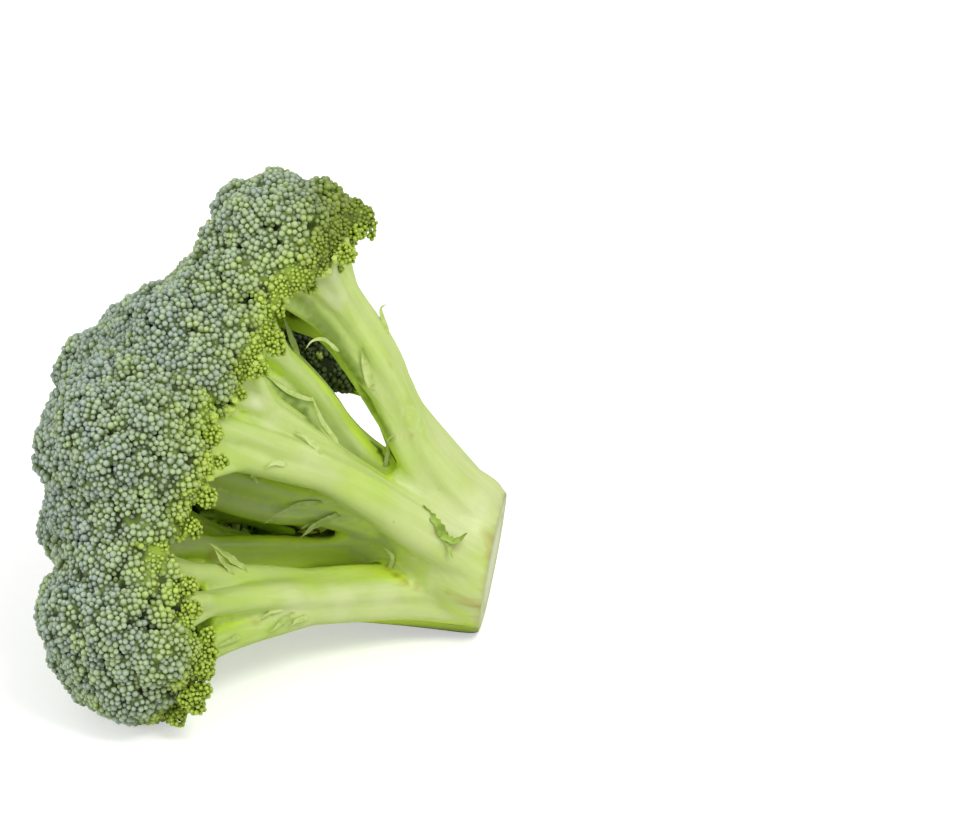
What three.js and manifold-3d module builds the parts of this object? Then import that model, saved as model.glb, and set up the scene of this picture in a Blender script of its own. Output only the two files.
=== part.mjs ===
// A head of broccoli, cut from its plant and laid on its side. One cut stalk divides into branches,
// and each branch fans out under a floret, which is a dome packed with flower buds.
// Millimetres, +Z up. The head lies on the plane z = 0, its cut end towards +X and its crown towards
// -X, and the origin is under the middle of the head.
import * as THREE from "three";
import { ConvexHull } from "three/addons/math/ConvexHull.js";
import { mergeVertices } from "three/addons/utils/BufferGeometryUtils.js";
import Module from "manifold-3d";

// ---------- Driving dimensions ----------

const FOCUS = point(-15, 2, 30); // the fork, from where the florets face outwards
const CUT_CENTRE = point(3.8, 4.4, 19.7);
const CUT_NORMAL = point(0.985, -0.1, -0.159).normalize();
const CUT_RADIUS = 21.4;
const GAP = 0.4; // left free between two nodes

const BUD_PITCH = 7.6; // from bud to bud, more than three times that of real buds
const BUD_DEPTH = 2.1; // how far the valleys between buds lie below their tops
const BUD_CORNERS = 3; // of a bud's flat top
const BUD_SHOULDER = 0.5; // share of a bud's half width where its flat top ends
const SHOULDER_DEPTH = 0.2;
const BUD_SCATTER = 0.16; // of the pitch, how far buds stray from an even spiral
const BUD_CELL = 0.87; // of the pitch squared, the share of the skin that one bud takes
const PLAIN_STEP = 3; // where the skin is plain, one direction in this many is kept
const MAIN_DOME = 0.93; // of the floret's radius, the large dome under its lumps
const LUMPS = 11; // secondary domes on a floret
const LUMP_OFFSET = 0.56; // of the floret's radius, from its middle to a lump's
const LUMP_RADIUS = 0.48; // of the floret's radius
const CORE = 0.35; // of the floret's radius, from its middle forward to where its skin is seen from
const TAPER_SHARE = 0.55; // of a branch's length, over which it narrows
const FAN_START = 0.62; // of the branch's length, where its side stems leave it
const FAN_KNEE = 0.55; // of the way to the floret, where a side stem bends outwards
const KNEE_SPREAD = 0.3; // of a side stem's whole spread, how far it has come there
const SIDE_STEM = 0.72; // of the branch's radius, the thickness of a side stem
const TIP_RADIUS = 4; // of a side stem where it meets the floret
const TIP_DEPTH = 4; // how far their tips reach past the floret's underside
const LOBE_BUDS = 6; // round the middle one of a hanging lobe
const LOBE_RING = 0.8; // of the lobe's radius, the ring that they stand on
const BRANCH_SIDES = 8;
const FAN_SIDES = 5;
const BASE_LENGTH = 34; // of the undivided base, from the cut face
const BASE_RISE = 22; // how far its middle line climbs towards the fork
const BASE_SIDES = 18;
const BRACT_THICKNESS = 1;
const BRACT_FOOT = 1.5; // how deep its foot is set into the branch
const GOLDEN_ANGLE = Math.PI * (3 - Math.sqrt(5));

// The florets: name, middle of the dome, radius, how its face leans from the line out of the fork,
// and how far its flat underside lies behind its middle, in radii.
const FLORETS = [
  floret("floret_top", point(-57.5, 2, 117.5), 26.3, point(-0.15, 0, -0.08)),
  floret("floret_upper", point(-81.5, -15, 91.4), 30),
  floret("floret_near", point(-100, -38, 73.4), 30, point(0, 0, 0), 0.28),
  floret("floret_low_near", point(-100, -57, 28.6), 30.2),
  floret("floret_crown", point(-98, 4, 69), 30),
  floret("floret_crown_high", point(-84, 24, 81), 25),
  floret("floret_crown_low", point(-100, -16, 43), 29),
  floret("floret_top_far", point(-64, 28, 98), 22.5),
  floret("floret_far", point(-54, 50, 74), 23.5, point(0, 0, 0), 0.7),
  floret("floret_middle_far", point(-84, 51, 49), 28.5),
  floret("floret_low_far", point(-72, 48, 25.9), 27.2),
  floret("floret_low", point(-94, 20, 26), 27),
];

// A lobe that hangs over a floret's rim: the floret, the lobe's middle and its radius.
const LOBES = [{ floretName: "floret_top", centre: point(-36.5, 4, 129.5), radius: 6.2 }];

// The branches: the floret that each one carries, its radius at the cut and below the floret, the
// number of side stems under the floret, how far they spread in the floret's radii, and its centre
// line out from the cut face.
const BRANCHES = [
  branch("floret_top", 11, 7.4, 5, 0.55, [
    point(3, 3, 33), point(-9.6, 1, 45), point(-20.6, -1, 62.1), point(-29, -2, 81.2),
    point(-38, -2, 95.5), point(-48.5, 1, 109),
  ]),
  branch("floret_upper", 10, 6.4, 4, 0.36, [
    point(1, 5, 28.3), point(-15.4, 4, 38.8), point(-32.5, 3, 53.6), point(-45.5, 1, 70),
    point(-55, -1, 83), point(-66, -6, 92),
  ]),
  branch("floret_upper", 8.5, 6.2, 4, 0.36, [
    point(2, -4, 26.5), point(-18.3, -8, 37.8), point(-40, -13, 56.5), point(-56, -18, 70),
    point(-71, -20, 81),
  ]),
  branch("floret_near", 8, 6.3, 5, 0.44, [
    point(1.5, -8, 24), point(-18.3, -12, 38.5), point(-41.5, -19, 57.5), point(-60, -25, 68.5),
    point(-80, -32, 79),
  ]),
  branch("floret_crown", 8, 6.2, 4, 0.36, [
    point(-1, 4, 19), point(-24, 4, 32), point(-47, 4, 40.5), point(-66, 3, 44.5), point(-84, 3, 54),
  ]),
  branch("floret_crown_low", 8, 5.2, 3, 0.3, [
    point(0, 2, 20), point(-26, 4, 26), point(-52, 3, 26.5), point(-80, -4, 30),
  ]),
  branch("floret_low_near", 8.6, 8.2, 5, 0.6, [
    point(1.2, 0, 9.8), point(-21.2, -6, 15.2), point(-36, -13, 17.8), point(-50.8, -21, 20.3),
    point(-64.7, -30, 23.2), point(-82, -43, 27),
  ]),
  branch("floret_crown_high", 7, 6, 3, 0.5, [
    point(0, 8, 24), point(-30, 12, 42), point(-55, 15, 58), point(-75, 18, 70),
  ]),
  branch("floret_far", 8, 6.5, 4, 0.5, [
    point(2, 12, 30), point(-10, 17, 44), point(-21, 23, 58), point(-28, 31, 70),
    point(-36, 37, 76), point(-46, 43, 76),
  ]),
  branch("floret_top_far", 6, 5, 3, 0.5, [
    point(-32, 0, 78), point(-41, 4, 90), point(-50, 12, 97), point(-58, 21, 99),
  ]),
  branch("floret_middle_far", 8, 6.5, 4, 0.6, [
    point(0, 14, 20), point(-25, 24, 29), point(-48, 33, 37), point(-68, 41, 43),
  ]),
  branch("floret_low_far", 7, 6, 4, 0.6, [
    point(0, 10, 10), point(-26, 20, 10), point(-44, 31, 11.5), point(-60, 39, 15),
  ]),
  branch("floret_low", 7, 5.5, 3, 0.5, [
    point(0, 8, 14), point(-28, 12, 12), point(-52, 17, 12.5), point(-76, 19, 18),
  ]),
];

// Small leaves left on the branches: branch number, share of its length, angle round it in degrees
// (0 at the front, 90 on its upper side), length and how far the tip curls away.
const BRACTS = [
  [0, 0.64, 95, 10, 0.35], [0, 0.6, -95, 11, 0.9], [0, 0.24, -80, 11, 0.5], [1, 0.5, -40, 13, 0.3],
  [1, 0.76, 90, 10, 0.4], [2, 0.46, 10, 11, 0.25], [3, 0.46, -95, 18, 0.3], [3, 0.4, -95, 12, 0.6],
  [3, 0.12, 30, 13, 0.15], [6, 0.25, 85, 8, 0.9], [6, 0.66, -85, 9, 0.5], [10, 0.5, 150, 10, 0.5],
];
const FRONT = point(0, -0.9, 0.4); // the side that the head shows

const COLOURS = { stalk: 0xb4cc6c, florets: 0x5c7650 };

// ---------- Small helpers ----------

function point(x, y, z) {
  return new THREE.Vector3(x, y, z);
}

function floret(name, centre, radius, lean = point(0, 0, 0), underside = 0.08) {
  const axis = centre.clone().sub(FOCUS).normalize().add(lean).normalize();
  const core = centre.clone().addScaledVector(axis, CORE * radius);
  return { name, centre, radius, axis, core, underside: underside * radius };
}

function branch(floretName, baseRadius, tipRadius, sideStems, spread, points) {
  const curve = new THREE.CatmullRomCurve3(points);
  return { floretName, baseRadius, tipRadius, sideStems, spread, curve };
}

// The direction of point number index of a spiral that covers a sphere evenly, seen from its pole.
function spiralDirection(index, count) {
  const z = 1 - (2 * index + 1) / count;
  const across = Math.sqrt(1 - z * z);
  const turn = index * GOLDEN_ANGLE;
  return point(across * Math.cos(turn), across * Math.sin(turn), z);
}

// Two directions square to an axis and to each other.
function crossAxes(axis) {
  const helper = Math.abs(axis.z) < 0.9 ? point(0, 0, 1) : point(1, 0, 0);
  const u = helper.cross(axis).normalize();
  return [u, axis.clone().cross(u)];
}

// Random numbers from 0 to 1, the same ones on each run.
let seed = 20;
function random() {
  seed = (seed * 48271) % 2147483647;
  return seed / 2147483647;
}

function geometryOf(vertices, faces) {
  const geometry = new THREE.BufferGeometry();
  geometry.setAttribute("position", new THREE.Float32BufferAttribute(vertices.flatMap((v) => v.toArray()), 3));
  return geometry.setIndex(faces.flat());
}

// ---------- Solids ----------

const wasm = await Module();
wasm.setup();

function solidOf(geometry) {
  const bare = new THREE.BufferGeometry().setAttribute("position", geometry.getAttribute("position"));
  if (geometry.index) bare.setIndex(geometry.index);
  const merged = mergeVertices(bare, 1e-4);
  const mesh = new wasm.Mesh({
    numProp: 3,
    vertProperties: merged.attributes.position.array,
    triVerts: new Uint32Array(merged.index.array),
  });
  return new wasm.Manifold(mesh);
}

function meshOf(name, solid, colour, roughness) {
  const { vertProperties, triVerts } = solid.getMesh();
  const geometry = new THREE.BufferGeometry()
    .setAttribute("position", new THREE.BufferAttribute(vertProperties, 3))
    .setIndex(new THREE.BufferAttribute(triVerts, 1));
  const material = new THREE.MeshStandardMaterial({ color: colour, roughness, metalness: 0 });
  const mesh = new THREE.Mesh(geometry, material);
  mesh.name = name;
  return mesh;
}

// ---------- Florets ----------

// The planes that bound a floret: one where its sphere crosses each other floret's, its underside,
// and the table.
function wallsOf(floret) {
  const walls = FLORETS.filter((other) => other !== floret).map((other) => {
    const normal = other.centre.clone().sub(floret.centre);
    const apart = normal.length();
    normal.divideScalar(apart);
    const crossing = (apart ** 2 + floret.radius ** 2 - other.radius ** 2) / (2 * apart);
    const core = floret.core.clone().sub(floret.centre).dot(normal);
    return { normal, distance: crossing - core - GAP / 2 };
  });
  walls.push({ normal: floret.axis.clone().negate(), distance: floret.underside + CORE * floret.radius });
  walls.push({ normal: point(0, 0, -1), distance: floret.core.z });
  return walls;
}

// The domes that make up a floret: a large one, and smaller ones spread over its face.
function domesOf(floret, number) {
  const { centre, radius } = floret;
  const [u, v] = crossAxes(floret.axis);
  const domes = [{ centre, radius: MAIN_DOME * radius }];
  for (let index = 0; index < LUMPS; index++) {
    const spread = spiralDirection(index, LUMPS * 1.6).applyAxisAngle(point(0, 0, 1), number * 0.7);
    const outward = centre.clone().addScaledVector(u, LUMP_OFFSET * radius * spread.x);
    outward.addScaledVector(v, LUMP_OFFSET * radius * spread.y);
    outward.addScaledVector(floret.axis, LUMP_OFFSET * radius * spread.z);
    domes.push({ centre: outward, radius: LUMP_RADIUS * radius });
  }
  return domes;
}

// How far a set of balls reaches from a floret's core in a direction, or 0 beside them.
function ballReach(floret, balls, direction) {
  let reach = 0;
  for (const { centre, radius } of balls) {
    const offset = centre.clone().sub(floret.core);
    const along = offset.dot(direction);
    const inside = along ** 2 - offset.lengthSq() + radius ** 2;
    if (inside > 0) reach = Math.max(reach, along + Math.sqrt(inside));
  }
  return reach;
}

// How far a floret may reach in a direction before its underside, a neighbour or the table stops it.
function roomReach(floret, direction) {
  let reach = Infinity;
  for (const wall of floret.walls) {
    const toward = direction.dot(wall.normal);
    if (toward > 0) reach = Math.min(reach, wall.distance / toward);
  }
  return reach;
}

// The directions of the buds on a hanging lobe, one in the middle and a ring round it.
function lobeDirections(floret, { centre, radius }) {
  const middle = centre.clone().sub(floret.core);
  const [u, v] = crossAxes(middle.clone().normalize());
  const directions = [middle.clone().normalize()];
  for (let index = 0; index < LOBE_BUDS; index++) {
    const angle = (2 * Math.PI * index) / LOBE_BUDS;
    const aside = u.clone().multiplyScalar(Math.cos(angle)).addScaledVector(v, Math.sin(angle));
    directions.push(middle.clone().addScaledVector(aside, LOBE_RING * radius).normalize());
  }
  return directions;
}

// The faces of one floret: buds where its dome is free, and plain faces where something stops it.
// Every vertex lies in its own direction from the core, so the skin can't cross itself.
function floretSkin(floret) {
  const count = Math.round((4 * Math.PI * floret.radius ** 2) / (BUD_CELL * BUD_PITCH ** 2));
  const directions = [];
  const isBud = [];
  const stray = () => (random() - 0.5) * 2 * BUD_SCATTER * BUD_PITCH;
  for (let index = 0; index < count; index++) {
    const onDome = spiralDirection(index, count).multiplyScalar(floret.radius);
    const direction = onDome.add(point(stray(), stray(), stray())).add(floret.centre).sub(floret.core);
    direction.normalize();
    const bud = ballReach(floret, floret.domes, direction) < roomReach(floret, direction) + 1;
    if (!bud && index % PLAIN_STEP) continue;
    if (ballReach(floret, floret.lobes, direction)) continue;
    directions.push(direction);
    isBud.push(bud);
  }
  for (const lobe of floret.lobes) {
    for (const direction of lobeDirections(floret, lobe)) {
      directions.push(direction);
      isBud.push(true);
    }
  }
  const vertices = [];
  const faces = [];
  const addVertex = (direction, depth) => {
    const dome = Math.min(ballReach(floret, floret.domes, direction) - depth, roomReach(floret, direction));
    const reach = Math.max(dome, ballReach(floret, floret.lobes, direction) - depth);
    return vertices.push(direction.clone().multiplyScalar(reach)) - 1;
  };
  const tops = directions.map((direction) => addVertex(direction, 0));
  const indexOf = new Map(directions.map((direction, index) => [direction, index]));
  const hull = new ConvexHull().setFromPoints(directions);
  const cornersOf = (face) => {
    const edges = [face.edge, face.edge.next, face.edge.next.next];
    return edges.map((edge) => indexOf.get(edge.head().point));
  };
  const valleyOf = new Map();
  for (const face of hull.faces) {
    const corners = cornersOf(face);
    if (!corners.some((corner) => isBud[corner])) continue;
    const middle = point(0, 0, 0);
    corners.forEach((corner) => middle.add(directions[corner]));
    middle.normalize();
    const depth = corners.every((corner) => isBud[corner]) ? BUD_DEPTH : 0;
    valleyOf.set(face, { direction: middle, vertex: addVertex(middle, depth) });
  }
  const addDome = (top, valleys) => {
    const anchorOf = (index) => Math.floor((index * BUD_CORNERS) / valleys.length);
    const anchors = [];
    for (let anchor = 0; anchor < BUD_CORNERS; anchor++) {
      const near = point(0, 0, 0);
      valleys.forEach((valley, index) => {
        const next = valleys[(index + 1) % valleys.length];
        if (anchorOf(index) === anchor) near.add(valley.direction).add(next.direction);
      });
      const direction = directions[top].clone().lerp(near.normalize(), BUD_SHOULDER).normalize();
      anchors.push(addVertex(direction, SHOULDER_DEPTH));
    }
    faces.push(anchors);
    valleys.forEach((valley, index) => {
      const next = valleys[(index + 1) % valleys.length];
      const [own, following] = [anchorOf(index), anchorOf((index + 1) % valleys.length)];
      faces.push([anchors[own], valley.vertex, next.vertex]);
      if (own !== following) faces.push([anchors[own], next.vertex, anchors[following]]);
    });
  };
  const done = new Set();
  for (const face of hull.faces) {
    const valley = valleyOf.get(face);
    if (!valley) {
      faces.push(cornersOf(face).map((corner) => tops[corner]));
      continue;
    }
    let edge = face.edge;
    do {
      const [start, end] = [indexOf.get(edge.tail().point), indexOf.get(edge.head().point)];
      if (!isBud[start] && !isBud[end]) {
        faces.push([tops[start], tops[end], valley.vertex]);
      } else if (!isBud[end]) {
        faces.push([tops[end], valley.vertex, valleyOf.get(edge.twin.face).vertex]);
      } else if (!done.has(end)) {
        done.add(end);
        addDome(end, valleysAround(edge, valleyOf));
      }
      edge = edge.next;
    } while (edge !== face.edge);
  }
  return { vertices, faces };
}

// The valleys round the bud that an edge points at, in turn.
function valleysAround(first, valleyOf) {
  const valleys = [];
  let edge = first;
  do {
    valleys.push(valleyOf.get(edge.face));
    edge = edge.next.twin;
  } while (edge !== first);
  return valleys.reverse();
}

// The same skin moved out by a margin: what the branches are cut with, so that they stay clear.
function floretSolid(floret, margin = 0) {
  const { vertices, faces } = floret.skin;
  const moved = vertices.map((v) => v.clone().setLength(v.length() + margin).add(floret.core));
  return solidOf(geometryOf(moved, faces));
}

// ---------- Stalk ----------

// A closed round stem along a curve, with its radius given at each station from 0 to 1.
function stemSolid(curve, radiusAt, sides, stations) {
  const frames = curve.computeFrenetFrames(stations, false);
  const vertices = [];
  const faces = [];
  for (let station = 0; station <= stations; station++) {
    const t = station / stations;
    const centre = curve.getPointAt(t);
    for (let side = 0; side < sides; side++) {
      const angle = (2 * Math.PI * side) / sides;
      const out = frames.normals[station].clone().multiplyScalar(Math.cos(angle));
      out.addScaledVector(frames.binormals[station], Math.sin(angle));
      vertices.push(centre.clone().addScaledVector(out, radiusAt(t)));
      if (station === stations) continue;
      const [low, next] = [station * sides + side, station * sides + ((side + 1) % sides)];
      faces.push([low, next, next + sides], [low, next + sides, low + sides]);
    }
  }
  const last = stations * sides;
  for (let side = 1; side < sides - 1; side++) {
    faces.push([0, side + 1, side], [last, last + side, last + side + 1]);
  }
  return solidOf(geometryOf(vertices, faces));
}

// A branch narrows over the first part of its length.
function branchRadius(stem, share) {
  return THREE.MathUtils.lerp(stem.baseRadius, stem.tipRadius, Math.min(1, share / TAPER_SHARE));
}

function branchSolids(stem) {
  const floret = FLORETS.find((one) => one.name === stem.floretName);
  const solids = [stemSolid(stem.curve, (t) => branchRadius(stem, t), BRANCH_SIDES, 5)];
  const [u, v] = crossAxes(floret.axis);
  const end = stem.curve.getPointAt(1);
  const short = floret.centre.clone().sub(end).dot(floret.axis) - floret.underside;
  const hub = end.addScaledVector(floret.axis, short + TIP_DEPTH);
  const start = stem.curve.getPointAt(FAN_START);
  for (let index = 0; index < stem.sideStems; index++) {
    const angle = (2 * Math.PI * (index + 0.5)) / stem.sideStems;
    const aside = u.clone().multiplyScalar(Math.cos(angle)).addScaledVector(v, Math.sin(angle));
    aside.multiplyScalar(stem.spread * floret.radius);
    const knee = start.clone().lerp(hub, FAN_KNEE).addScaledVector(aside, KNEE_SPREAD);
    const tip = hub.clone().add(aside);
    const curve = new THREE.CatmullRomCurve3([start, knee, tip]);
    const radiusAt = (t) => THREE.MathUtils.lerp(SIDE_STEM * stem.tipRadius, TIP_RADIUS, t);
    solids.push(stemSolid(curve, radiusAt, FAN_SIDES, 3));
  }
  return solids;
}

// The undivided base behind the cut face, which widens and ends inside the fork.
function baseSolid() {
  const inward = CUT_NORMAL.clone().multiplyScalar(-1);
  const start = CUT_CENTRE.clone().addScaledVector(CUT_NORMAL, 4);
  const waist = CUT_CENTRE.clone().addScaledVector(inward, 0.65 * BASE_LENGTH);
  waist.add(point(0, -1, 0.36 * BASE_RISE));
  const end = CUT_CENTRE.clone().addScaledVector(inward, BASE_LENGTH).add(point(0, -1, BASE_RISE));
  const curve = new THREE.CatmullRomCurve3([start, waist, end]);
  const radiusAt = (t) => CUT_RADIUS * (t < 0.5 ? 1 : 1 - 1.3 * (t - 0.5));
  return stemSolid(curve, radiusAt, BASE_SIDES, 4);
}

// A small curled leaf: a thin blade that narrows to its tip.
function bractSolid([branchIndex, share, angleDegrees, length, curl]) {
  const stem = BRANCHES[branchIndex];
  const angle = THREE.MathUtils.degToRad(angleDegrees);
  const tangent = stem.curve.getTangentAt(share);
  const out = FRONT.clone().projectOnPlane(tangent).normalize().applyAxisAngle(tangent, angle);
  const side = tangent.clone().cross(out);
  const foot = stem.curve.getPointAt(share).addScaledVector(out, branchRadius(stem, share) - BRACT_FOOT);
  const vertices = [];
  const faces = [];
  const stations = 3;
  for (let station = 0; station <= stations; station++) {
    const t = station / stations;
    const centre = foot.clone().addScaledVector(tangent, length * t * (1 - 0.3 * curl * t));
    centre.addScaledVector(out, length * curl * t * (0.4 + 0.5 * t));
    const half = 0.2 * length * (1 - t) + 0.4;
    for (const [across, up] of [[-1, -1], [1, -1], [1, 1], [-1, 1]]) {
      const corner = centre.clone().addScaledVector(side, across * half);
      vertices.push(corner.addScaledVector(out, (up * BRACT_THICKNESS) / 2));
    }
    if (station === stations) continue;
    for (let corner = 0; corner < 4; corner++) {
      const [low, next] = [4 * station + corner, 4 * station + ((corner + 1) % 4)];
      faces.push([low, next + 4, next], [low, low + 4, next + 4]);
    }
  }
  const last = 4 * stations;
  faces.push([0, 1, 2], [0, 2, 3], [last, last + 2, last + 1], [last, last + 3, last + 2]);
  return solidOf(geometryOf(vertices, faces));
}

// Everything beyond the plane of the cut face.
function beyondCut() {
  const size = 120;
  const box = new THREE.BoxGeometry(size, size, size).translate(0, 0, size / 2);
  const turn = new THREE.Quaternion().setFromUnitVectors(point(0, 0, 1), CUT_NORMAL);
  return solidOf(box.applyQuaternion(turn).translate(...CUT_CENTRE.toArray()));
}

function belowTable() {
  const size = 400;
  return solidOf(new THREE.BoxGeometry(size, size, size).translate(0, 0, -size / 2));
}

function stalkSolid() {
  let stalk = baseSolid();
  for (const stem of BRANCHES) for (const solid of branchSolids(stem)) stalk = stalk.add(solid);
  for (const bract of BRACTS) stalk = stalk.add(bractSolid(bract));
  stalk = stalk.subtract(beyondCut()).subtract(belowTable());
  for (const floret of FLORETS) stalk = stalk.subtract(floretSolid(floret, GAP));
  const bodies = stalk.decompose();
  return bodies.sort((a, b) => b.volume() - a.volume())[0];
}

// ---------- The head ----------

FLORETS.forEach((floret, number) => {
  floret.domes = domesOf(floret, number);
  floret.lobes = LOBES.filter((lobe) => lobe.floretName === floret.name);
  floret.walls = wallsOf(floret);
  floret.skin = floretSkin(floret);
});

const head = new THREE.Group();
head.add(meshOf("stalk", stalkSolid(), COLOURS.stalk, 0.45));
for (const floret of FLORETS) head.add(meshOf(floret.name, floretSolid(floret), COLOURS.florets, 0.7));

const bounds = new THREE.Box3().setFromObject(head);
const middle = bounds.getCenter(point(0, 0, 0));
head.position.set(-middle.x, -middle.y, 0);

export default head;
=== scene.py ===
"""A head of broccoli lying on its side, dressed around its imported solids."""

import math

import bmesh
import bpy
import numpy as np
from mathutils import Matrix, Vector
from mathutils.bvhtree import BVHTree


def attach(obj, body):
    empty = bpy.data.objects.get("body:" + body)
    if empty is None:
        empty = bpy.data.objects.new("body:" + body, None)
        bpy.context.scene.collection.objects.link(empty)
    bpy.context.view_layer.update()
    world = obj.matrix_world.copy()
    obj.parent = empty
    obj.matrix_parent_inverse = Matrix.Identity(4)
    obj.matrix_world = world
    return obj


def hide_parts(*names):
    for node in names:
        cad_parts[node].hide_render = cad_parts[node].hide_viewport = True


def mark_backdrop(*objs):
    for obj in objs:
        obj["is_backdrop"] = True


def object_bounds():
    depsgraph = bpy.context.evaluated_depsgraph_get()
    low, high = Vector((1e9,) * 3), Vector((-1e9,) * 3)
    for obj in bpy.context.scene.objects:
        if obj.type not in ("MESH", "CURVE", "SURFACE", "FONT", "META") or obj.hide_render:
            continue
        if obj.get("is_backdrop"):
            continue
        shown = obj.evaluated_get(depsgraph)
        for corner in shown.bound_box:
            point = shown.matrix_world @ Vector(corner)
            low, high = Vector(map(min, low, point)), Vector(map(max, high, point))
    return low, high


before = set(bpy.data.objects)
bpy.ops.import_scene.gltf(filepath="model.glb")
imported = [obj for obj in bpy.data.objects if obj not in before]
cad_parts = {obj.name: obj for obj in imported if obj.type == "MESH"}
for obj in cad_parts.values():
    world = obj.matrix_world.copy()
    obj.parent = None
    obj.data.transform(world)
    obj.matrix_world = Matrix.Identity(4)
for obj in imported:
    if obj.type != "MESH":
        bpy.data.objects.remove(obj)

BOUNDS_AT_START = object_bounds()

bl_info = {
    "name": "Broccoli head",
    "version": (1, 0, 0),
    "blender": (4, 5, 0),
    "location": "View3D > Sidebar > Broccoli",
    "description": "Builds a head of broccoli from its florets, branches and leaves",
    "category": "Add Mesh",
}

# ---------- Layout, in millimetres ----------
# The same places as the solids have. The layout's own origin is on the table, near the lower edge of
# the cut face, and SHIFT moves it to the frame's.

MM = 0.001
SHIFT = np.array([61.432, 3.092, 0.0])
FOCUS = np.array([-15.0, 2.0, 30.0])  # the point that the florets face away from
CUT_CENTRE = np.array([3.8, 4.4, 19.7])
CUT_NORMAL = np.array([0.985, -0.14, -0.155]) / np.linalg.norm([0.985, -0.14, -0.155])
CUT_RADIUS = 21.4
BASE_LENGTH = 34.0
FRONT = np.array([0.0, -0.9, 0.4])  # the side on which each branch's own turn starts
FRONT_TILT = math.radians(24)  # how far the head is looked down on from its front
TOWARD = np.array([0.0, -math.cos(FRONT_TILT), math.sin(FRONT_TILT)])
UPWARD = np.array([0.0, math.sin(FRONT_TILT), math.cos(FRONT_TILT)])

# The domes of a floret, in its radii.
DOME_RADIUS = 0.93  # of its middle dome
LUMPS = 11  # smaller domes round that, on its outer side
LUMP_SPIRAL = 1.6  # places on the whole ball, for each of them
LUMP_TURN = 0.7  # radians from one floret's lumps to the next one's
LUMP_OFFSET = 0.56  # from the floret's middle to theirs
LUMP_RADIUS = 0.48
CORE_SHARE = 0.35  # from its middle out to the core, from which its surface is measured
SURFACE_SPAN = (0.3, 1.5)  # where its surface is looked for, from the core
SURFACE_STEPS = 30

# The surface of a floret.
PACKED = 0.87  # of the pitch squared, which is what each of many packed places takes up
NEIGHBOUR_GAP = 0.2  # from a floret to the plane halfway to its neighbour
TABLE_GAP = 1.2
BUD_BED = 2.6  # from the solid's skin down to where the buds stand
UNDER_BED = 0.3  # from there down to the growth between them
WALL_DROP = 1.5  # how many times as far that growth stands back from a neighbour
WRAP = 8.5  # how far buds go on down the side that faces a neighbour
FULL_WRAP = 100.0  # right down that side
TUFT_RISE = 1.35  # of the middle of a tuft over its edge
TUFT_REACH = 0.62  # from its middle to its edge, in pitches
TUFT_SCATTER = 0.16  # of its middle, in pitches
TUFT_ON_LOBE = 0.6  # of its rise, on a hanging lobe
CREASE = (0.1, 1.6)  # from one tuft to the next, as the difference of the distances to their middles
HOLE = (0.9, 2.4)  # the same from the nearest to the third nearest
HOLE_DEPTH = 3.2  # of the holes where three tufts meet, painted dark as shade
HOLE_SHARE = 0.3  # of those places, how many are open
RIM_SHARP, RIM_SOFT = (0.0, 12.0), (4.0, 34.0)  # how far above the underside yellow buds fade out
RIM_SHARP_PART = 0.62  # how much of the yellow is in the first of these
RIM_WANDER = 9.0  # of those heights, from tuft to tuft
OLIVE_YELLOW, OLIVE_SHADE_DIM = 0.8, 0.52  # how yellow olive buds are, and how dark they are painted as shade
SHADE = (-8, 4)  # how far out from the middle of a shaded floret its buds are painted dark as shade, towards its foot
EDGE = (1.0, 7.0)  # how far above the underside small buds give way to large ones
LARGE_BELOW, SMALL_ABOVE = 0.7, 0.3  # of that change, which both kinds share in its middle
SMALL_WIDTH, SMALL_SPACING = 0.68, 0.7  # of small buds, as shares of the large ones'

# Side stems, as shares of their branch or in millimetres.
LINE_STEPS = 80  # along the line of a branch
TAPER_SHARE = 0.55  # of a branch, over which it thins
FAN_START = 0.62  # of a branch, where its side stems part
BRANCH_CORE = 0.8  # of its radius, for the tube in its middle
STEM_OFFSET, STEM_SHARE = 0.46, 0.6  # of its radius: out to a side stem, and that one's radius
STEM_SAMPLES, FORK_SAMPLES = 20, 14
STEM_TIP, STEM_SWELL = 3.4, 0.9  # radius of a side stem below the floret, and what its end adds
FORK_RADIUS, FORK_SWELL = 2.5, 0.7  # the same for its forks
FORK_STATION = 8  # how far up a side stem its forks start
FORK_REACH = 0.25  # of the floret's radius, from the side stem's tip to theirs
FORK_TURN, FORK_CHANCE = 2.1, 0.5  # radians from one fork to the next, and how much that may vary
TIP_RISE = 1.5  # of a tip into the floret, past its underside
TIP_DEPTH = 4.5  # of a tip under the floret's skin, at least
TIP_HEIGHT = 4.0  # of a tip over the table, at least
THIN_PITCH, THIN_SCATTER = 5.2, 0.7  # between the thin stems under a floret
THIN_SPAN = 0.92  # of the floret's radius that they fill
THIN_RISE = 0.6  # of their ends into the floret
THIN_BEYOND = 2.5  # how far past a wall of the floret one may end
THIN_REACH = 9.0  # the furthest that one of them goes aside
THIN_RADII = (1.5, 1.0)  # of one, where it leaves and at its end
THIN_SAMPLES = 6

LEAF_SAMPLES = 15  # rings along a leaf
LEAF_SIDES = 8  # points in each
LEAF_ROOT = 1.4  # of a leaf's foot inside the flesh
LEAF_CLEAR = 0.35  # of a leaf's line over the flesh behind it
LEAF_EDGE = 0.12  # half the width of a leaf at its tip
LEAF_THICK, LEAF_THINNING = 0.45, 0.25  # half its thickness at its foot, and what the tip lacks
LEAF_CUP = 0.3  # of its width, how far its edges curl up

# What each kind of random draw starts from, before the number of the floret, branch or leaf.
SPRIG_SEED, TUFT_SEED, TONE_SEED, SHELTER_SEED = 10, 40, 70, 90
THIN_SEED, FORK_SEED, LEAF_SEED = 200, 300, 500

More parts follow.
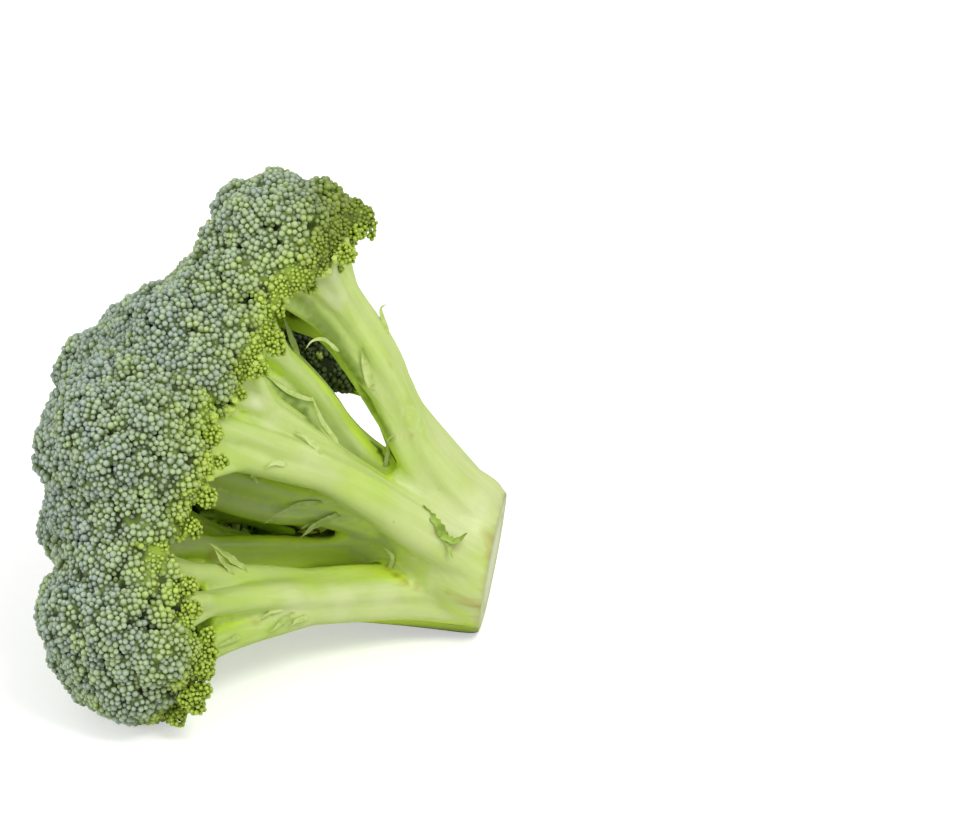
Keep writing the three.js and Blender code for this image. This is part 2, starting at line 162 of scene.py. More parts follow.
# Node, middle, radius, lean, underside in radii, and how softly it joins its neighbours.
FLORETS = [
    ("floret_top", (-57.5, 2, 117.5), 26.3, (-0.15, 0, -0.08), 0.08, 8),
    ("floret_upper", (-81.5, -15, 91.4), 30, (0, 0, 0), 0.08, 10),
    ("floret_near", (-100, -38, 73.4), 30, (0, 0, 0), 0.28, 16),
    ("floret_low_near", (-100, -57, 28.6), 30.2, (0, 0, 0), 0.08, 16),
    ("floret_crown", (-98, 4, 69), 30, (0, 0, 0), 0.08, 14),
    ("floret_crown_high", (-84, 24, 81), 25, (0, 0, 0), 0.08, 12),
    ("floret_crown_low", (-100, -16, 43), 29, (0, 0, 0), 0.08, 14),
    ("floret_top_far", (-64, 28, 98), 22.5, (0, 0, 0), 0.08, 8),
    ("floret_far", (-54, 50, 74), 23.5, (0, 0, 0), 0.7, 5),
    ("floret_middle_far", (-84, 51, 49), 28.5, (0, 0, 0), 0.08, 9),
    ("floret_low_far", (-72, 48, 25.9), 27.2, (0, 0, 0), 0.08, 6),
    ("floret_low", (-94, 20, 26), 27, (0, 0, 0), 0.08, 9),
]

# These two stand in the shade of the others: their buds are painted dark as shade, all large, and go
# right down their sides.
SHADED = ("floret_far", "floret_top_far")

# How yellow the rim of these gets, where it is less than on the others.
RIM_SHARE = {"floret_far": 0.4, "floret_top_far": 0.4, "floret_low_near": 0.84}

# From which x to which the buds of this floret turn olive: yellower, and painted dark as shade.
OLIVE = {"floret_top": (-58, -42)}

# How far the surface of these lies below their domes.
LOWER = {"floret_crown_high": 3.0, "floret_upper": 0.8, "floret_top_far": 2.6}

# Floret, the side on which it is flatter, how much, and how near to that side this starts and ends.
FLATTER = {
    "floret_far": ((0.78, 0.0, 0.62), 3.0, 0.6, 0.95),
    "floret_low_near": ((-0.65, -0.305, -0.685), 4.0, 0.86, 0.985),
}

# Floret, radius at the cut and below the floret, side stems, how far they spread in the floret's
# radii, and the centre line from the cut face.
BRANCHES = [
    ("floret_top", 11, 6.7, 5, 0.4, [
        (3, 3, 33), (-9.6, 1, 45), (-20.6, -1, 62.1), (-28.6, -2, 81.2), (-38.2, -2, 95.5),
        (-48.4, 1, 109)]),
    ("floret_upper", 10, 6.4, 4, 0.36, [
        (1, 5, 28.3), (-15.8, 4, 38.4), (-34.2, 3, 53.2), (-47.4, 1, 70), (-55.8, -1, 83), (-66, -6, 92)]),
    ("floret_upper", 8.5, 6.2, 4, 0.36, [
        (2, -4, 26.5), (-18.3, -8, 37.8), (-40, -13, 56.5), (-56, -18, 70), (-71, -20, 81)]),
    ("floret_near", 8, 6.3, 5, 0.44, [
        (1.5, -8, 24), (-18.3, -12, 38.5), (-41.5, -19, 57.5), (-60, -25, 68.5), (-80, -32, 79)]),
    ("floret_crown", 8, 7.2, 4, 0.36, [
        (-1, 4, 19), (-24, 4, 32), (-47, 4, 39.6), (-66, 3, 42.2), (-84, 3, 50)]),
    ("floret_crown_low", 12, 5.2, 3, 0.3, [(0, 2, 20), (-26, 4, 25.4), (-52, 3, 24.4), (-80, -4, 25.5)]),
    ("floret_low_near", 8.6, 8.2, 5, 0.6, [
        (1.2, 0, 9.8), (-21.2, -6, 15.2), (-36, -13, 17.8), (-50.8, -21, 20.3), (-64.7, -30, 23.2),
        (-82, -43, 27)]),
    ("floret_crown_high", 7, 6, 3, 0.5, [(0, 8, 24), (-30, 12, 42), (-55, 15, 58), (-75, 18, 70)]),
    ("floret_far", 8, 6.0, 4, 0.36, [
        (2, 12, 30), (-10, 17, 44), (-22, 23, 58.5), (-31, 31, 70.5), (-39, 37, 76), (-47, 43, 77)]),
    ("floret_top_far", 6, 5, 3, 0.5, [
        (-25, -1, 70), (-34, 2, 83), (-42, 6, 92), (-50, 12, 97), (-58, 21, 99)]),
    ("floret_middle_far", 8, 6.5, 4, 0.6, [(0, 14, 20), (-25, 24, 29), (-48, 33, 37), (-68, 41, 43)]),
    ("floret_low_far", 7, 6, 4, 0.6, [(0, 10, 10), (-26, 20, 10), (-44, 31, 11.5), (-60, 39, 15)]),
    ("floret_low", 7, 5.5, 3, 0.5, [(0, 8, 14), (-28, 12, 12), (-52, 17, 12.5), (-76, 19, 18)]),
]

# Floret, middle and radius of a lobe that hangs over its rim.
LOBES = [
    ("floret_top", (-36.5, 4, 129.5), 6.2), ("floret_top", (-69.6, 8, 130.1), 10.4),
    ("floret_far", (-42.9, 32, 69.9), 8.5), ("floret_far", (-38.4, 29.5, 68.8), 6.2),
]

# Flesh that fills the forks: a line and its radius at each end.
WEBS = [
    ((-4, 3, 28), (-13, -3, 40), (-21, -4.5, 48), (-25.9, -4, 53.6), 12, 3.2),
    ((0, -3, 5.2), (-20, -3, 7), (-38, -9, 10.5), (-52, -18, 13.5), 4.7, 2.6),
    ((-20, 10, 26), (-40, 11, 30), (-60, 12, 34), 6, 5),
    ((-12, -3, 22), (-26, 1, 23.4), (-40, 5, 24), 12, 4.5),
]

# Small balls of buds that stand out below the rim of a floret.
SPRIG_COUNT = 34  # places where one may stand
SPRIG_SPAN = 0.98  # of the floret's radius, out to them
SPRIG_RADIUS, SPRIG_GROWTH = 1.5, 1.3  # of the smallest, and what is added for the largest
SPRIG_SINK, SPRIG_DROP = 1.2, 3.0  # its middle under the surface, and how much further it may hang
SPRIG_REACH = 3.5  # how far the surface may be from the wall it meets there
SPRIG_LIFT = 1.6  # over the table

# Loose sprigs at the edge of a floret: x and height as seen from the front, y, and radius.
SPRIGS = {
    "floret_top": [
        (-34.6, 121.0, 2, 1.6), (-32.6, 118.2, 2, 1.3), (-32.4, 115.4, 3, 1.2), (-38.8, 112.8, 0, 1.6),
        (-42.5, 105.6, -8, 1.7), (-50.5, 100.0, -12, 1.8),
    ],
    "floret_low_near": [
        (-80.6, -15.6, -80, 1.9), (-82.6, -16.6, -80, 2.2), (-83.0, -20.4, -78, 2.4),
        (-85.5, -18.0, -78, 2.6), (-86.0, -5.0, -80, 2.0), (-88.5, -24.0, -74, 2.4),
    ],
}

# Small leaves left on the head: the points of each as seen from the front, x and height, then how far
# its tip stands off, its width, how ragged its edge is, and how green it is.
LEAVES = [
    ([(-27.8, 87.0), (-29.2, 91.2), (-29.6, 94.2), (-28.1, 95.2)], 1.2, 1.3, 0.1, 0.2),
    ([(-42.0, 81.6), (-46.0, 85.0), (-49.5, 84.6), (-51.4, 82.4)], 2.5, 1.1, 0.2, 0.1),
    ([(-52.8, 80.5), (-56.0, 86.5), (-58.0, 92.0)], 1.5, 1.6, 0.2, 0.2),
    ([(-42.2, 54.8), (-46.5, 61.0), (-49.6, 68.6)], 2.0, 1.3, 0.2, 0.0),
    ([(-49.4, 67.5), (-56.5, 70.0), (-62.9, 74.9)], 0.8, 1.4, 0.2, 0.0),
    ([(-28.4, 48.2), (-27.4, 53.0), (-27.0, 56.6), (-24.8, 57.8)], 2.6, 1.2, 0.2, 0.1),
    ([(-32.4, 71.0), (-34.2, 77.0), (-35.3, 83.0)], 0.3, 2.4, 0.2, 0.15),
    ([(-47.5, 52.3), (-51.0, 56.5), (-54.6, 58.4)], 1.2, 1.9, 0.5, 0.1),
    ([(-57.3, 48.8), (-60.5, 49.4), (-63.3, 47.4)], 1.2, 1.7, 0.5, 0.1),
    ([(-46.8, 37.6), (-53.0, 37.2), (-58.5, 34.6), (-63.8, 31.4)], 3.0, 1.4, 0.2, 0.0),
    ([(-42.0, 34.0), (-48.0, 31.5), (-53.2, 27.2)], 3.0, 2.1, 0.5, 0.1),
    ([(-46.5, 31.8), (-50.0, 31.4), (-52.8, 30.0)], 3.0, 1.2, 0.3, 0.2),
    ([(-27.0, 18.8), (-26.2, 22.0), (-28.8, 24.6)], 2.0, 1.2, 0.2, 0.2),
    ([(-11.4, 28.0), (-13.5, 32.0), (-17.2, 37.0)], 0.3, 3.0, 0.6, 0.9),
    ([(-12.0, 28.2), (-8.0, 26.6), (-4.6, 29.0)], 0.3, 2.5, 0.6, 0.9),
    ([(-10.5, 28.6), (-10.0, 25.0), (-8.8, 21.8)], 0.3, 2.2, 0.6, 0.7),
    ([(-54.8, 5.6), (-58.5, 3.0), (-62.2, 0.0)], 1.4, 1.9, 0.6, 0.4),
    ([(-51.0, 4.6), (-54.0, 3.4), (-56.5, 1.2)], 1.4, 1.8, 0.6, 0.3),
    ([(-58.6, 6.6), (-61.5, 6.2), (-64.5, 4.0)], 1.4, 1.7, 0.6, 0.2),
    ([(-70.5, -0.6), (-74.0, -2.4), (-78.0, -3.8)], 1.6, 1.8, 0.6, 0.4),
    ([(-69.0, 18.4), (-74.8, 23.0), (-79.8, 26.6)], 2.4, 2.0, 0.6, 0.2),
    ([(-72.4, 17.4), (-75.7, 21.2), (-77.7, 24.6)], 2.4, 1.8, 0.6, 0.2),
    ([(-64.8, 42.6), (-66.2, 44.6), (-67.4, 46.4)], 1.2, 1.5, 0.4, 0.1),
]

# Bruises on the flesh: x and height as seen from the front, radius and strength.
BRUISES = [
    (-27.0, 18.9, 1.9, 0.75), (-25.2, 16.6, 2.0, 0.7), (-22.6, 14.4, 2.2, 0.6), (-19.4, 13.2, 2.0, 0.35),
    (-9.6, 11.4, 2.0, 0.4), (-6.7, 10.2, 2.2, 0.6), (-3.8, 8.4, 2.8, 0.8), (-0.9, 7.3, 2.2, 0.8),
    (2.4, 27.0, 3.4, 0.65), (2.2, 22.4, 3.0, 0.6), (-12.4, 29.2, 2.0, 0.45), (-9.0, 25.4, 2.6, 0.55),
    (-74.5, 19.6, 3.6, 0.6), (-78.0, 22.5, 3.0, 0.5), (-66.0, 3.2, 1.8, 0.45), (-33.0, 74.0, 1.3, 0.3),
    (-26.9, 77.6, 1.2, 0.35), (-20.7, 57.4, 1.2, 0.35),
]

# Painted shade, dark green, on the flank of the outer branch and in the fork beside it: x and height
# from the front, radius and strength.
FLANK_SHADE = [
    (-54.5, 96.2, 3.2, 0.4), (-52.6, 95.4, 3.4, 0.7), (-50.4, 93.8, 3.6, 0.9), (-48.6, 91.6, 3.6, 1.0),
    (-46.6, 89.6, 3.6, 1.0), (-44.6, 87.3, 3.6, 1.0), (-42.8, 84.8, 3.6, 1.0), (-41.1, 82.0, 3.5, 1.0),
    (-39.5, 79.2, 3.5, 1.0), (-37.9, 76.3, 3.4, 1.0), (-36.3, 73.4, 3.3, 1.0), (-34.7, 70.5, 3.3, 1.0),
    (-33.1, 67.6, 3.3, 1.0), (-31.5, 64.7, 3.2, 1.0), (-29.9, 61.8, 3.2, 0.9), (-28.6, 59.2, 3.0, 0.8),
    (-27.3, 56.6, 2.8, 0.6),
    (-60.6, 72.0, 1.9, 0.7), (-58.9, 70.5, 2.3, 0.9), (-57.0, 68.4, 2.7, 1.0), (-54.9, 66.2, 2.9, 1.0),
    (-52.6, 63.9, 2.8, 1.0), (-50.2, 61.6, 2.6, 1.0), (-48.2, 59.6, 2.2, 0.9), (-46.4, 57.8, 1.8, 0.7),
]

# Greener places on the flesh, and paler ones below 0, partly its own colour and partly painted light
# and shade: x and height from the front, radius, strength.
TINTS_AND_PAINTED_LIGHT = [
    (-38, 42.5, 9, 0.9), (-30, 41, 8, 0.6), (-66, 14.5, 10, 0.9), (-52, 15.5, 9, 0.8), (-42, 16, 8, 0.5),
    (-20, 14, 8, 0.6), (-9, 8, 9, 0.6), (0, 20, 8, 0.4), (-22, 50, 7, 0.6), (-30, 62, 8, 0.5),
    (-34, 80, 9, 0.5), (-60, 92, 12, 0.6), (-78, 46, 10, 0.5), (-8, 31, 13, -0.7), (0, 38, 9, -0.6),
    (-66, 66, 6.5, -1.0),
    (-62, 60, 6, -0.6), (-40, 9.5, 11, -0.6), (-55, 8, 9, -0.5), (-28, 10, 9, -0.5), (-45, 104, 8, -1.0),
    (-43, 97, 7, -0.8), (-20, 42, 9, -0.4), (-50, 50, 8, -0.4), (-17, 17, 6, 0.5), (-10, 13, 6, 0.6),
    (-4, 12, 6, 0.5), (-13, 22, 6, 0.4), (-30, 88, 5, 0.4),
]


# ---------- Small helpers ----------

def unit(vectors):
    """The same vectors, each with length 1."""
    vectors = np.asarray(vectors, float)
    return vectors / np.linalg.norm(vectors, axis=-1, keepdims=True)


def smooth_step(low, high, values):
    """0 below low, 1 above high, and a smooth turn between them."""
    share = np.clip((values - low) / (high - low), 0, 1)
    return share * share * (3 - 2 * share)


def spiral_directions(count, amount=None):
    """The first directions of a spiral that covers a sphere evenly, seen from its pole."""
    index = np.arange(int(count) if amount is None else amount)
    z = 1 - (2 * index + 1) / count
    across = np.sqrt(1 - z * z)
    turn = index * math.pi * (3 - math.sqrt(5))
    return np.stack([across * np.cos(turn), across * np.sin(turn), z], axis=1)


def packed_count(radius, pitch):
    """How many places a pitch apart a whole ball has room for."""
    return 4 * math.pi * radius**2 / (PACKED * pitch**2)


def cross_axes(axis):
    """Two directions square to an axis and to each other."""
    helper = (0, 0, 1) if abs(axis[2]) < 0.9 else (1, 0, 0)
    u = unit(np.cross(helper, axis))
    return u, np.cross(axis, u)


def linear(red, green, blue):
    """A colour of 0 to 255 as the shader takes it."""
    values = [((c / 255 + 0.055) / 1.055) ** 2.4 if c > 10 else c / 3294 for c in (red, green, blue)]
    return (*values, 1.0)


def mesh_of(name, vertices, faces):
    """A mesh from points in the layout's millimetres."""
    mesh = bpy.data.meshes.new(name)
    placed = (np.asarray(vertices, float) + SHIFT) * MM
    mesh.from_pydata(placed.tolist(), [], [list(map(int, face)) for face in faces])
    return mesh


def object_of(name, mesh):
    """A new object in the scene, at the origin."""
    obj = bpy.data.objects.new(name, mesh)
    bpy.context.scene.collection.objects.link(obj)
    return obj


def store(mesh, name, values):
    """Keeps one number for each vertex."""
    attribute = mesh.attributes.new(name, "FLOAT", "POINT")
    attribute.data.foreach_set("value", np.asarray(values, np.float32))


def vertex_rows(mesh, name):
    """Three numbers of each vertex of a mesh: its place or its normal."""
    flat = np.empty(len(mesh.vertices) * 3, np.float32)
    mesh.vertices.foreach_get(name, flat)
    return flat.reshape(-1, 3)


def places(mesh):
    """The vertices of a mesh in the layout's millimetres."""
    return vertex_rows(mesh, "co") / MM - SHIFT


def plain_mesh(obj, name):
    """What an object's modifiers make of it, as an object of its own. The old object is removed."""
    graph = bpy.context.evaluated_depsgraph_get()
    mesh = bpy.data.meshes.new_from_object(
        obj.evaluated_get(graph), preserve_all_data_layers=True, depsgraph=graph
    )
    bpy.data.objects.remove(obj)
    mesh.name = name
    return object_of(name, mesh)


def ray_tree(vertices, faces):
    """What rays are cast at, in the layout's millimetres."""
    return BVHTree.FromPolygons(np.asarray(vertices, float).tolist(), [list(map(int, f)) for f in faces])


def polygons_of(mesh):
    """The vertices of each face of a mesh."""
    return [list(polygon.vertices) for polygon in mesh.polygons]


def front_hit(tree, x, height):
    """Where the front view meets a surface at x and a height seen from the front, or None."""
    start = np.array([x, 0, 0]) + UPWARD * height + TOWARD * 300
    place, normal, _, _ = tree.ray_cast(Vector(start), Vector(-TOWARD))
    return None if place is None else (np.array(place), np.array(normal))


def front_place(x, height, y):
    """The point at a depth y that is seen at x and a height from the front."""
    return np.array([x, y, (height - UPWARD[1] * y) / UPWARD[2]])


def rest_on_table(mesh):
    """Flattens what would sink into the table."""
    rows = vertex_rows(mesh, "co")
    rows[:, 2] = np.maximum(rows[:, 2], 0.0)
    mesh.vertices.foreach_set("co", rows.ravel())


def ring_faces(count, sides):
    """Four-sided faces from each ring of points to the next."""
    faces = []
    for station in range(count - 1):
        for side in range(sides):
            low, beside = station * sides + side, station * sides + (side + 1) % sides
            faces.append((low, beside, beside + sides, low + sides))
    return faces


def hand_over(obj, slot, *nodes):
    """Fixes a finished piece to the frame."""
    rest_on_table(obj.data)
    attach(obj, "root")
    if nodes:
        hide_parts(*nodes)


# ---------- Form of the florets ----------

class Floret:
    """Where one floret is, and the planes and domes that shape it."""

    def __init__(self, number, row):
        self.name, centre, self.radius, lean, underside, self.softness = row
        self.number = number
        self.centre = np.array(centre, float)
        self.axis = unit(unit(self.centre - FOCUS) + np.array(lean))
        self.underside = underside * self.radius
        self.core = self.centre + CORE_SHARE * self.radius * self.axis
        self.u, self.v = cross_axes(self.axis)
        turn = number * LUMP_TURN
        spread = spiral_directions(LUMPS * LUMP_SPIRAL, LUMPS)
        x = spread[:, 0] * math.cos(turn) - spread[:, 1] * math.sin(turn)
        y = spread[:, 0] * math.sin(turn) + spread[:, 1] * math.cos(turn)
        out = np.outer(x, self.u) + np.outer(y, self.v) + np.outer(spread[:, 2], self.axis)
        lumps = self.centre + LUMP_OFFSET * self.radius * out
        self.dome_centres = np.vstack([self.centre, lumps])
        self.dome_radii = np.array([DOME_RADIUS * self.radius] + [LUMP_RADIUS * self.radius] * LUMPS)

    def beside(self, angle):
        """The direction square to its axis at an angle round it."""
        return self.u * math.cos(angle) + self.v * math.sin(angle)

    def depth(self, points):
        """How far points lie outside this floret's own domes."""
        away = np.linalg.norm(points[..., None, :] - self.dome_centres, axis=-1)
        return (away - self.dome_radii).min(axis=-1)

    def inside(self, hub, aside):
        """A place beside a hub on the underside, drawn in until the buds hide it."""
        for share in np.linspace(1, 0.3, 15):
            place = hub + aside * share + self.axis * TIP_RISE
            if self.depth(place[None])[0] < -TIP_DEPTH and place[2] > TIP_HEIGHT:
                break
        return place

    def hanging(self, directions):
        """How far the lobes over its rim reach, or 0 beside them."""
        reach = np.zeros(len(directions))
        for name, centre, radius in LOBES:
            if name == self.name:
                away = np.array(centre) - self.core
                along = directions @ away
                beside = radius**2 - (away @ away - along**2)
                hit = (beside > 0) & (along > 0)
                reach[hit] = np.maximum(reach[hit], along[hit] + np.sqrt(beside[hit]))
        return reach

    def room(self, directions, others):
        """How far it may reach before its underside, a neighbour or the table stops it."""
        reach = np.full(len(directions), 1e3)
        walls = [
            (-self.axis, self.underside + CORE_SHARE * self.radius),
            (np.array([0, 0, -1.0]), self.core[2] - TABLE_GAP),
        ]
        for other in others:
            normal = other.centre - self.centre
            apart = np.linalg.norm(normal)
            normal = normal / apart
            crossing = (apart**2 + self.radius**2 - other.radius**2) / (2 * apart)
            walls.append((normal, crossing - NEIGHBOUR_GAP - (self.core - self.centre) @ normal))
        for normal, distance in walls:
            toward = directions @ normal
            ahead = toward > 1e-6
            reach[ahead] = np.minimum(reach[ahead], distance / toward[ahead])
        return reach

    def surface(self, directions, others):
        """How far the joined domes reach from the core."""
        near = [o for o in others if np.linalg.norm(o.centre - self.centre) < o.radius + self.radius]
        spans = np.linspace(*SURFACE_SPAN, SURFACE_STEPS) * self.radius
        points = self.core + directions[:, None, :] * spans[None, :, None]
        depth = self.depth(points)
        for other in near:
            softness = min(self.softness, other.softness)
            away = other.depth(points)
            share = np.clip(0.5 + 0.5 * (away - depth) / softness, 0, 1)
            depth = away * (1 - share) + depth * share - softness * share * (1 - share)
        inside = depth < 0
        last = SURFACE_STEPS - 2 - np.argmax(inside[:, :-1][:, ::-1], axis=1)
        row = np.arange(len(directions))
        low, high = depth[row, last], depth[row, last + 1]
        share = np.clip(-low / np.maximum(high - low, 1e-6), 0, 1)
        return spans[last] + share * (spans[1] - spans[0])


def all_florets():
    """Every floret, in the order of the table."""
    return [Floret(number, row) for number, row in enumerate(FLORETS)]


def all_but(floret, florets):
    """The other florets."""
    return [other for other in florets if other is not floret]


def clusters(floret, pitch):
    """The middles of the small tufts of buds that cover a floret."""
    chance = np.random.default_rng(TUFT_SEED + floret.number)
    points = spiral_directions(packed_count(floret.radius, pitch)) * floret.radius
    return floret.centre + points + chance.normal(0, TUFT_SCATTER * pitch, points.shape)


def nearest_three(points, centres):
    """The distances from points to the three nearest of some centres, nearest first, and which."""
    away = np.linalg.norm(points[:, None, :] - centres[None], axis=2)
    order = np.argpartition(away, 2, axis=1)[:, :3]
    near = np.take_along_axis(away, order, axis=1)
    rank = np.argsort(near, axis=1)
    return np.take_along_axis(near, rank, axis=1), np.take_along_axis(order, rank, axis=1)


def ball(subdivisions):
    """The vertices and faces of an even ball of radius 1."""
    shape = bmesh.new()
    bmesh.ops.create_icosphere(shape, subdivisions=subdivisions, radius=1.0)
    vertices = np.array([v.co[:] for v in shape.verts])
    faces = [[v.index for v in face.verts] for face in shape.faces]
    shape.free()
    return unit(vertices), faces


def canopy(floret, others, subdivisions, sink, pitch):
    """The surface that the buds grow from, with its cover, crease, rim, edge and painted shade."""
    directions, faces = ball(subdivisions)
    room = floret.room(directions, others) - max(0, WALL_DROP * (sink - BUD_BED))
    reach = floret.surface(directions, others) - LOWER.get(floret.name, 0)
    if floret.name in FLATTER:
        side, amount, low, high = FLATTER[floret.name]
        reach = reach - amount * smooth_step(low, high, directions @ unit(side))
    centres = clusters(floret, pitch)
    near, which = nearest_three(floret.core + directions * reach[:, None], centres)
    tones = np.random.default_rng(TONE_SEED + floret.number).random(len(centres))
    tone = tones[which[:, 0]]
    crease = smooth_step(*CREASE, near[:, 1] - near[:, 0])
    tuft = TUFT_RISE * np.clip(1 - (near[:, 0] / (TUFT_REACH * pitch)) ** 2, -0.8, 1)
    open_here = tones[which].sum(axis=1) % 1 < HOLE_SHARE
    hole = open_here * (1 - smooth_step(*HOLE, near[:, 2] - near[:, 0]))
    free = reach - sink + tuft - HOLE_DEPTH * hole
    hanging = floret.hanging(directions) - sink + TUFT_ON_LOBE * tuft
    final = np.maximum(np.minimum(free, room), hanging)
    points = floret.core + directions * final[:, None]
    shaded = floret.name in SHADED
    wrap = FULL_WRAP if shaded else WRAP
    outward = (points - floret.centre) @ floret.axis
    above = outward + floret.underside + RIM_WANDER * (tone - 0.5)
    sharp, soft = (1 - smooth_step(*heights, above) for heights in (RIM_SHARP, RIM_SOFT))
    olive = np.zeros(len(points))
    if floret.name in OLIVE:
        olive = smooth_step(*OLIVE[floret.name], points[:, 0])
    yellow = RIM_SHARP_PART * sharp + (1 - RIM_SHARP_PART) * soft
    rim = np.clip(np.maximum(yellow, OLIVE_YELLOW * olive), 0, 1)
    return {
        "points": points,
        "faces": faces,
        "cover": (((free < room + wrap) | (final == hanging)) & (hole < 0.5)).astype(float),
        "crease": crease * (1 - hole),
        "rim": rim * RIM_SHARE.get(floret.name, 1),
        "edge": (1 - smooth_step(*EDGE, above)) * (0 if shaded else 1),
        # Painted shade: shaded florets darken towards their foot, and the olive side darkens too.
        "shade_dim": 1 - smooth_step(*SHADE, outward) if shaded else OLIVE_SHADE_DIM * olive,
    }


def sprigs(floret, others):
    """Small balls of buds that stand out below the rim of a floret, and its loose sprigs."""
    chance = np.random.default_rng(SPRIG_SEED + floret.number)
    angles = chance.random(SPRIG_COUNT) * 2 * math.pi
    out = np.outer(np.cos(angles), floret.u) + np.outer(np.sin(angles), floret.v)
    foot = floret.centre - floret.axis * floret.underside
    directions = unit(foot + out * floret.radius * SPRIG_SPAN - floret.core)
    free = floret.surface(directions, others)
    room = floret.room(directions, others)
    found = []
    for direction, reach, stop in zip(directions, free, room):
        size = SPRIG_RADIUS + SPRIG_GROWTH * chance.random()
        drop = 1 + SPRIG_DROP * chance.random()
        if abs(reach - stop) > SPRIG_REACH:
            continue
        place = floret.core + direction * (min(reach, stop) - SPRIG_SINK) - floret.axis * drop
        place[2] = max(place[2], size + SPRIG_LIFT)
        found.append((place, size))
    for x, height, y, size in SPRIGS.get(floret.name, ()):
        found.append((front_place(x, height, y), size))
    return found


# ---------- Branches ----------

def smooth_line(points, samples):
    """Points spaced evenly along a centripetal curve through the given ones."""
    points = np.asarray(points, float)
    ends = np.vstack([2 * points[0] - points[1], points, 2 * points[-1] - points[-2]])
    line = []
    for p0, p1, p2, p3 in zip(ends, ends[1:], ends[2:], ends[3:]):
        t0 = 0.0
        t1 = t0 + np.linalg.norm(p1 - p0) ** 0.5
        t2 = t1 + np.linalg.norm(p2 - p1) ** 0.5
        t3 = t2 + np.linalg.norm(p3 - p2) ** 0.5
        t = np.linspace(t1, t2, 40, endpoint=False)[:, None]
        a1 = (t1 - t) / (t1 - t0) * p0 + (t - t0) / (t1 - t0) * p1
        a2 = (t2 - t) / (t2 - t1) * p1 + (t - t1) / (t2 - t1) * p2
        a3 = (t3 - t) / (t3 - t2) * p2 + (t - t2) / (t3 - t2) * p3
        b1 = (t2 - t) / (t2 - t0) * a1 + (t - t0) / (t2 - t0) * a2
        b2 = (t3 - t) / (t3 - t1) * a2 + (t - t1) / (t3 - t1) * a3
        line.append((t2 - t) / (t2 - t1) * b1 + (t - t1) / (t2 - t1) * b2)
    line = np.vstack(line + [points[-1:]])
    length = np.concatenate([[0], np.cumsum(np.linalg.norm(np.diff(line, axis=0), axis=1))])
    even = np.linspace(0, length[-1], samples)
    return np.stack([np.interp(even, length, line[:, k]) for k in range(3)], axis=1)


def turned_along(line, start):
    """A direction carried along a line without twisting."""
    tangents = unit(np.gradient(line, axis=0))
    current = np.asarray(start, float)
    carried = []
    for tangent in tangents:
        current = unit(current - tangent * (current @ tangent))
        carried.append(current)
    return tangents, np.array(carried)


def hermite(start, leave, end, arrive, samples):
    """A curve that leaves and arrives in given directions."""
    t = np.linspace(0, 1, samples)[:, None]
    return (
        (2 * t**3 - 3 * t**2 + 1) * start + (t**3 - 2 * t**2 + t) * leave
        + (-2 * t**3 + 3 * t**2) * end + (t**3 - t**2) * arrive
    )


class Branch:
    """One branch: its centre line, its thickness and the side stems that it is a bundle of."""

    def __init__(self, number, row, florets):
        floret_name, self.base_radius, self.tip_radius, self.side_stems, self.spread, points = row
        self.number = number
        self.floret = next(f for f in florets if f.name == floret_name)
        self.line = smooth_line(points, LINE_STEPS + 1)
        self.tangents, self.sides = turned_along(self.line, FRONT)
        self.length = np.linalg.norm(np.diff(self.line, axis=0), axis=1).sum()

    def radius(self, share):
        """Its radius at a share of its length."""
        taper = np.clip(share / TAPER_SHARE, 0, 1)
        return self.base_radius + (self.tip_radius - self.base_radius) * taper

    def bundle(self):
        """The lines and radii of its side stems, from the cut to their tips under the floret."""
        floret = self.floret
        split = int(FAN_START * LINE_STEPS)
        short = (floret.centre - self.line[-1]) @ floret.axis - floret.underside
        hub = self.line[-1] + floret.axis * short
        chance = np.random.default_rng(FORK_SEED + self.number)
        found = []
        for index in range(self.side_stems):
            angle = 2 * math.pi * (index + 0.5) / self.side_stems
            aside = floret.beside(angle) * self.spread * floret.radius
            back = self.line[: split + 1][::-1]
            forward = self.tangents[split]
            _, offsets = turned_along(back, aside - forward * (aside @ forward))
            shares = np.linspace(0, FAN_START, split + 1)
            radii = self.radius(shares)
            lower = back[::-1] + offsets[::-1] * (STEM_OFFSET * radii)[:, None]
            tip = floret.inside(hub, aside)
            reach = np.linalg.norm(tip - lower[-1])
            leave = unit(forward + 0.25 * unit(aside)) * reach
            arrive = unit(floret.axis + 0.5 * unit(aside)) * reach
            upper = hermite(lower[-1], leave, tip, arrive, STEM_SAMPLES)
            thick = STEM_SHARE * radii
            left = np.linspace(1, 0, STEM_SAMPLES)[1:]
            thin = STEM_TIP + (thick[-1] - STEM_TIP) * left + STEM_SWELL * (1 - left) ** 6
            found.append((np.vstack([lower, upper[1:]]), np.concatenate([thick, thin])))
            for turn in (-1, 0, 1):
                part = angle + FORK_TURN * turn + FORK_CHANCE * chance.random()
                beside = floret.beside(part) * FORK_REACH * floret.radius
                end = floret.inside(hub, tip + beside - hub)
                start, ahead = upper[FORK_STATION], upper[FORK_STATION + 1]
                far = np.linalg.norm(end - start)
                arrive = unit(floret.axis + 0.4 * unit(beside)) * far
                path = hermite(start, unit(ahead - start) * far, end, arrive, FORK_SAMPLES)
                found.append((path, FORK_RADIUS + FORK_SWELL * np.linspace(0, 1, FORK_SAMPLES) ** 5))
        return found


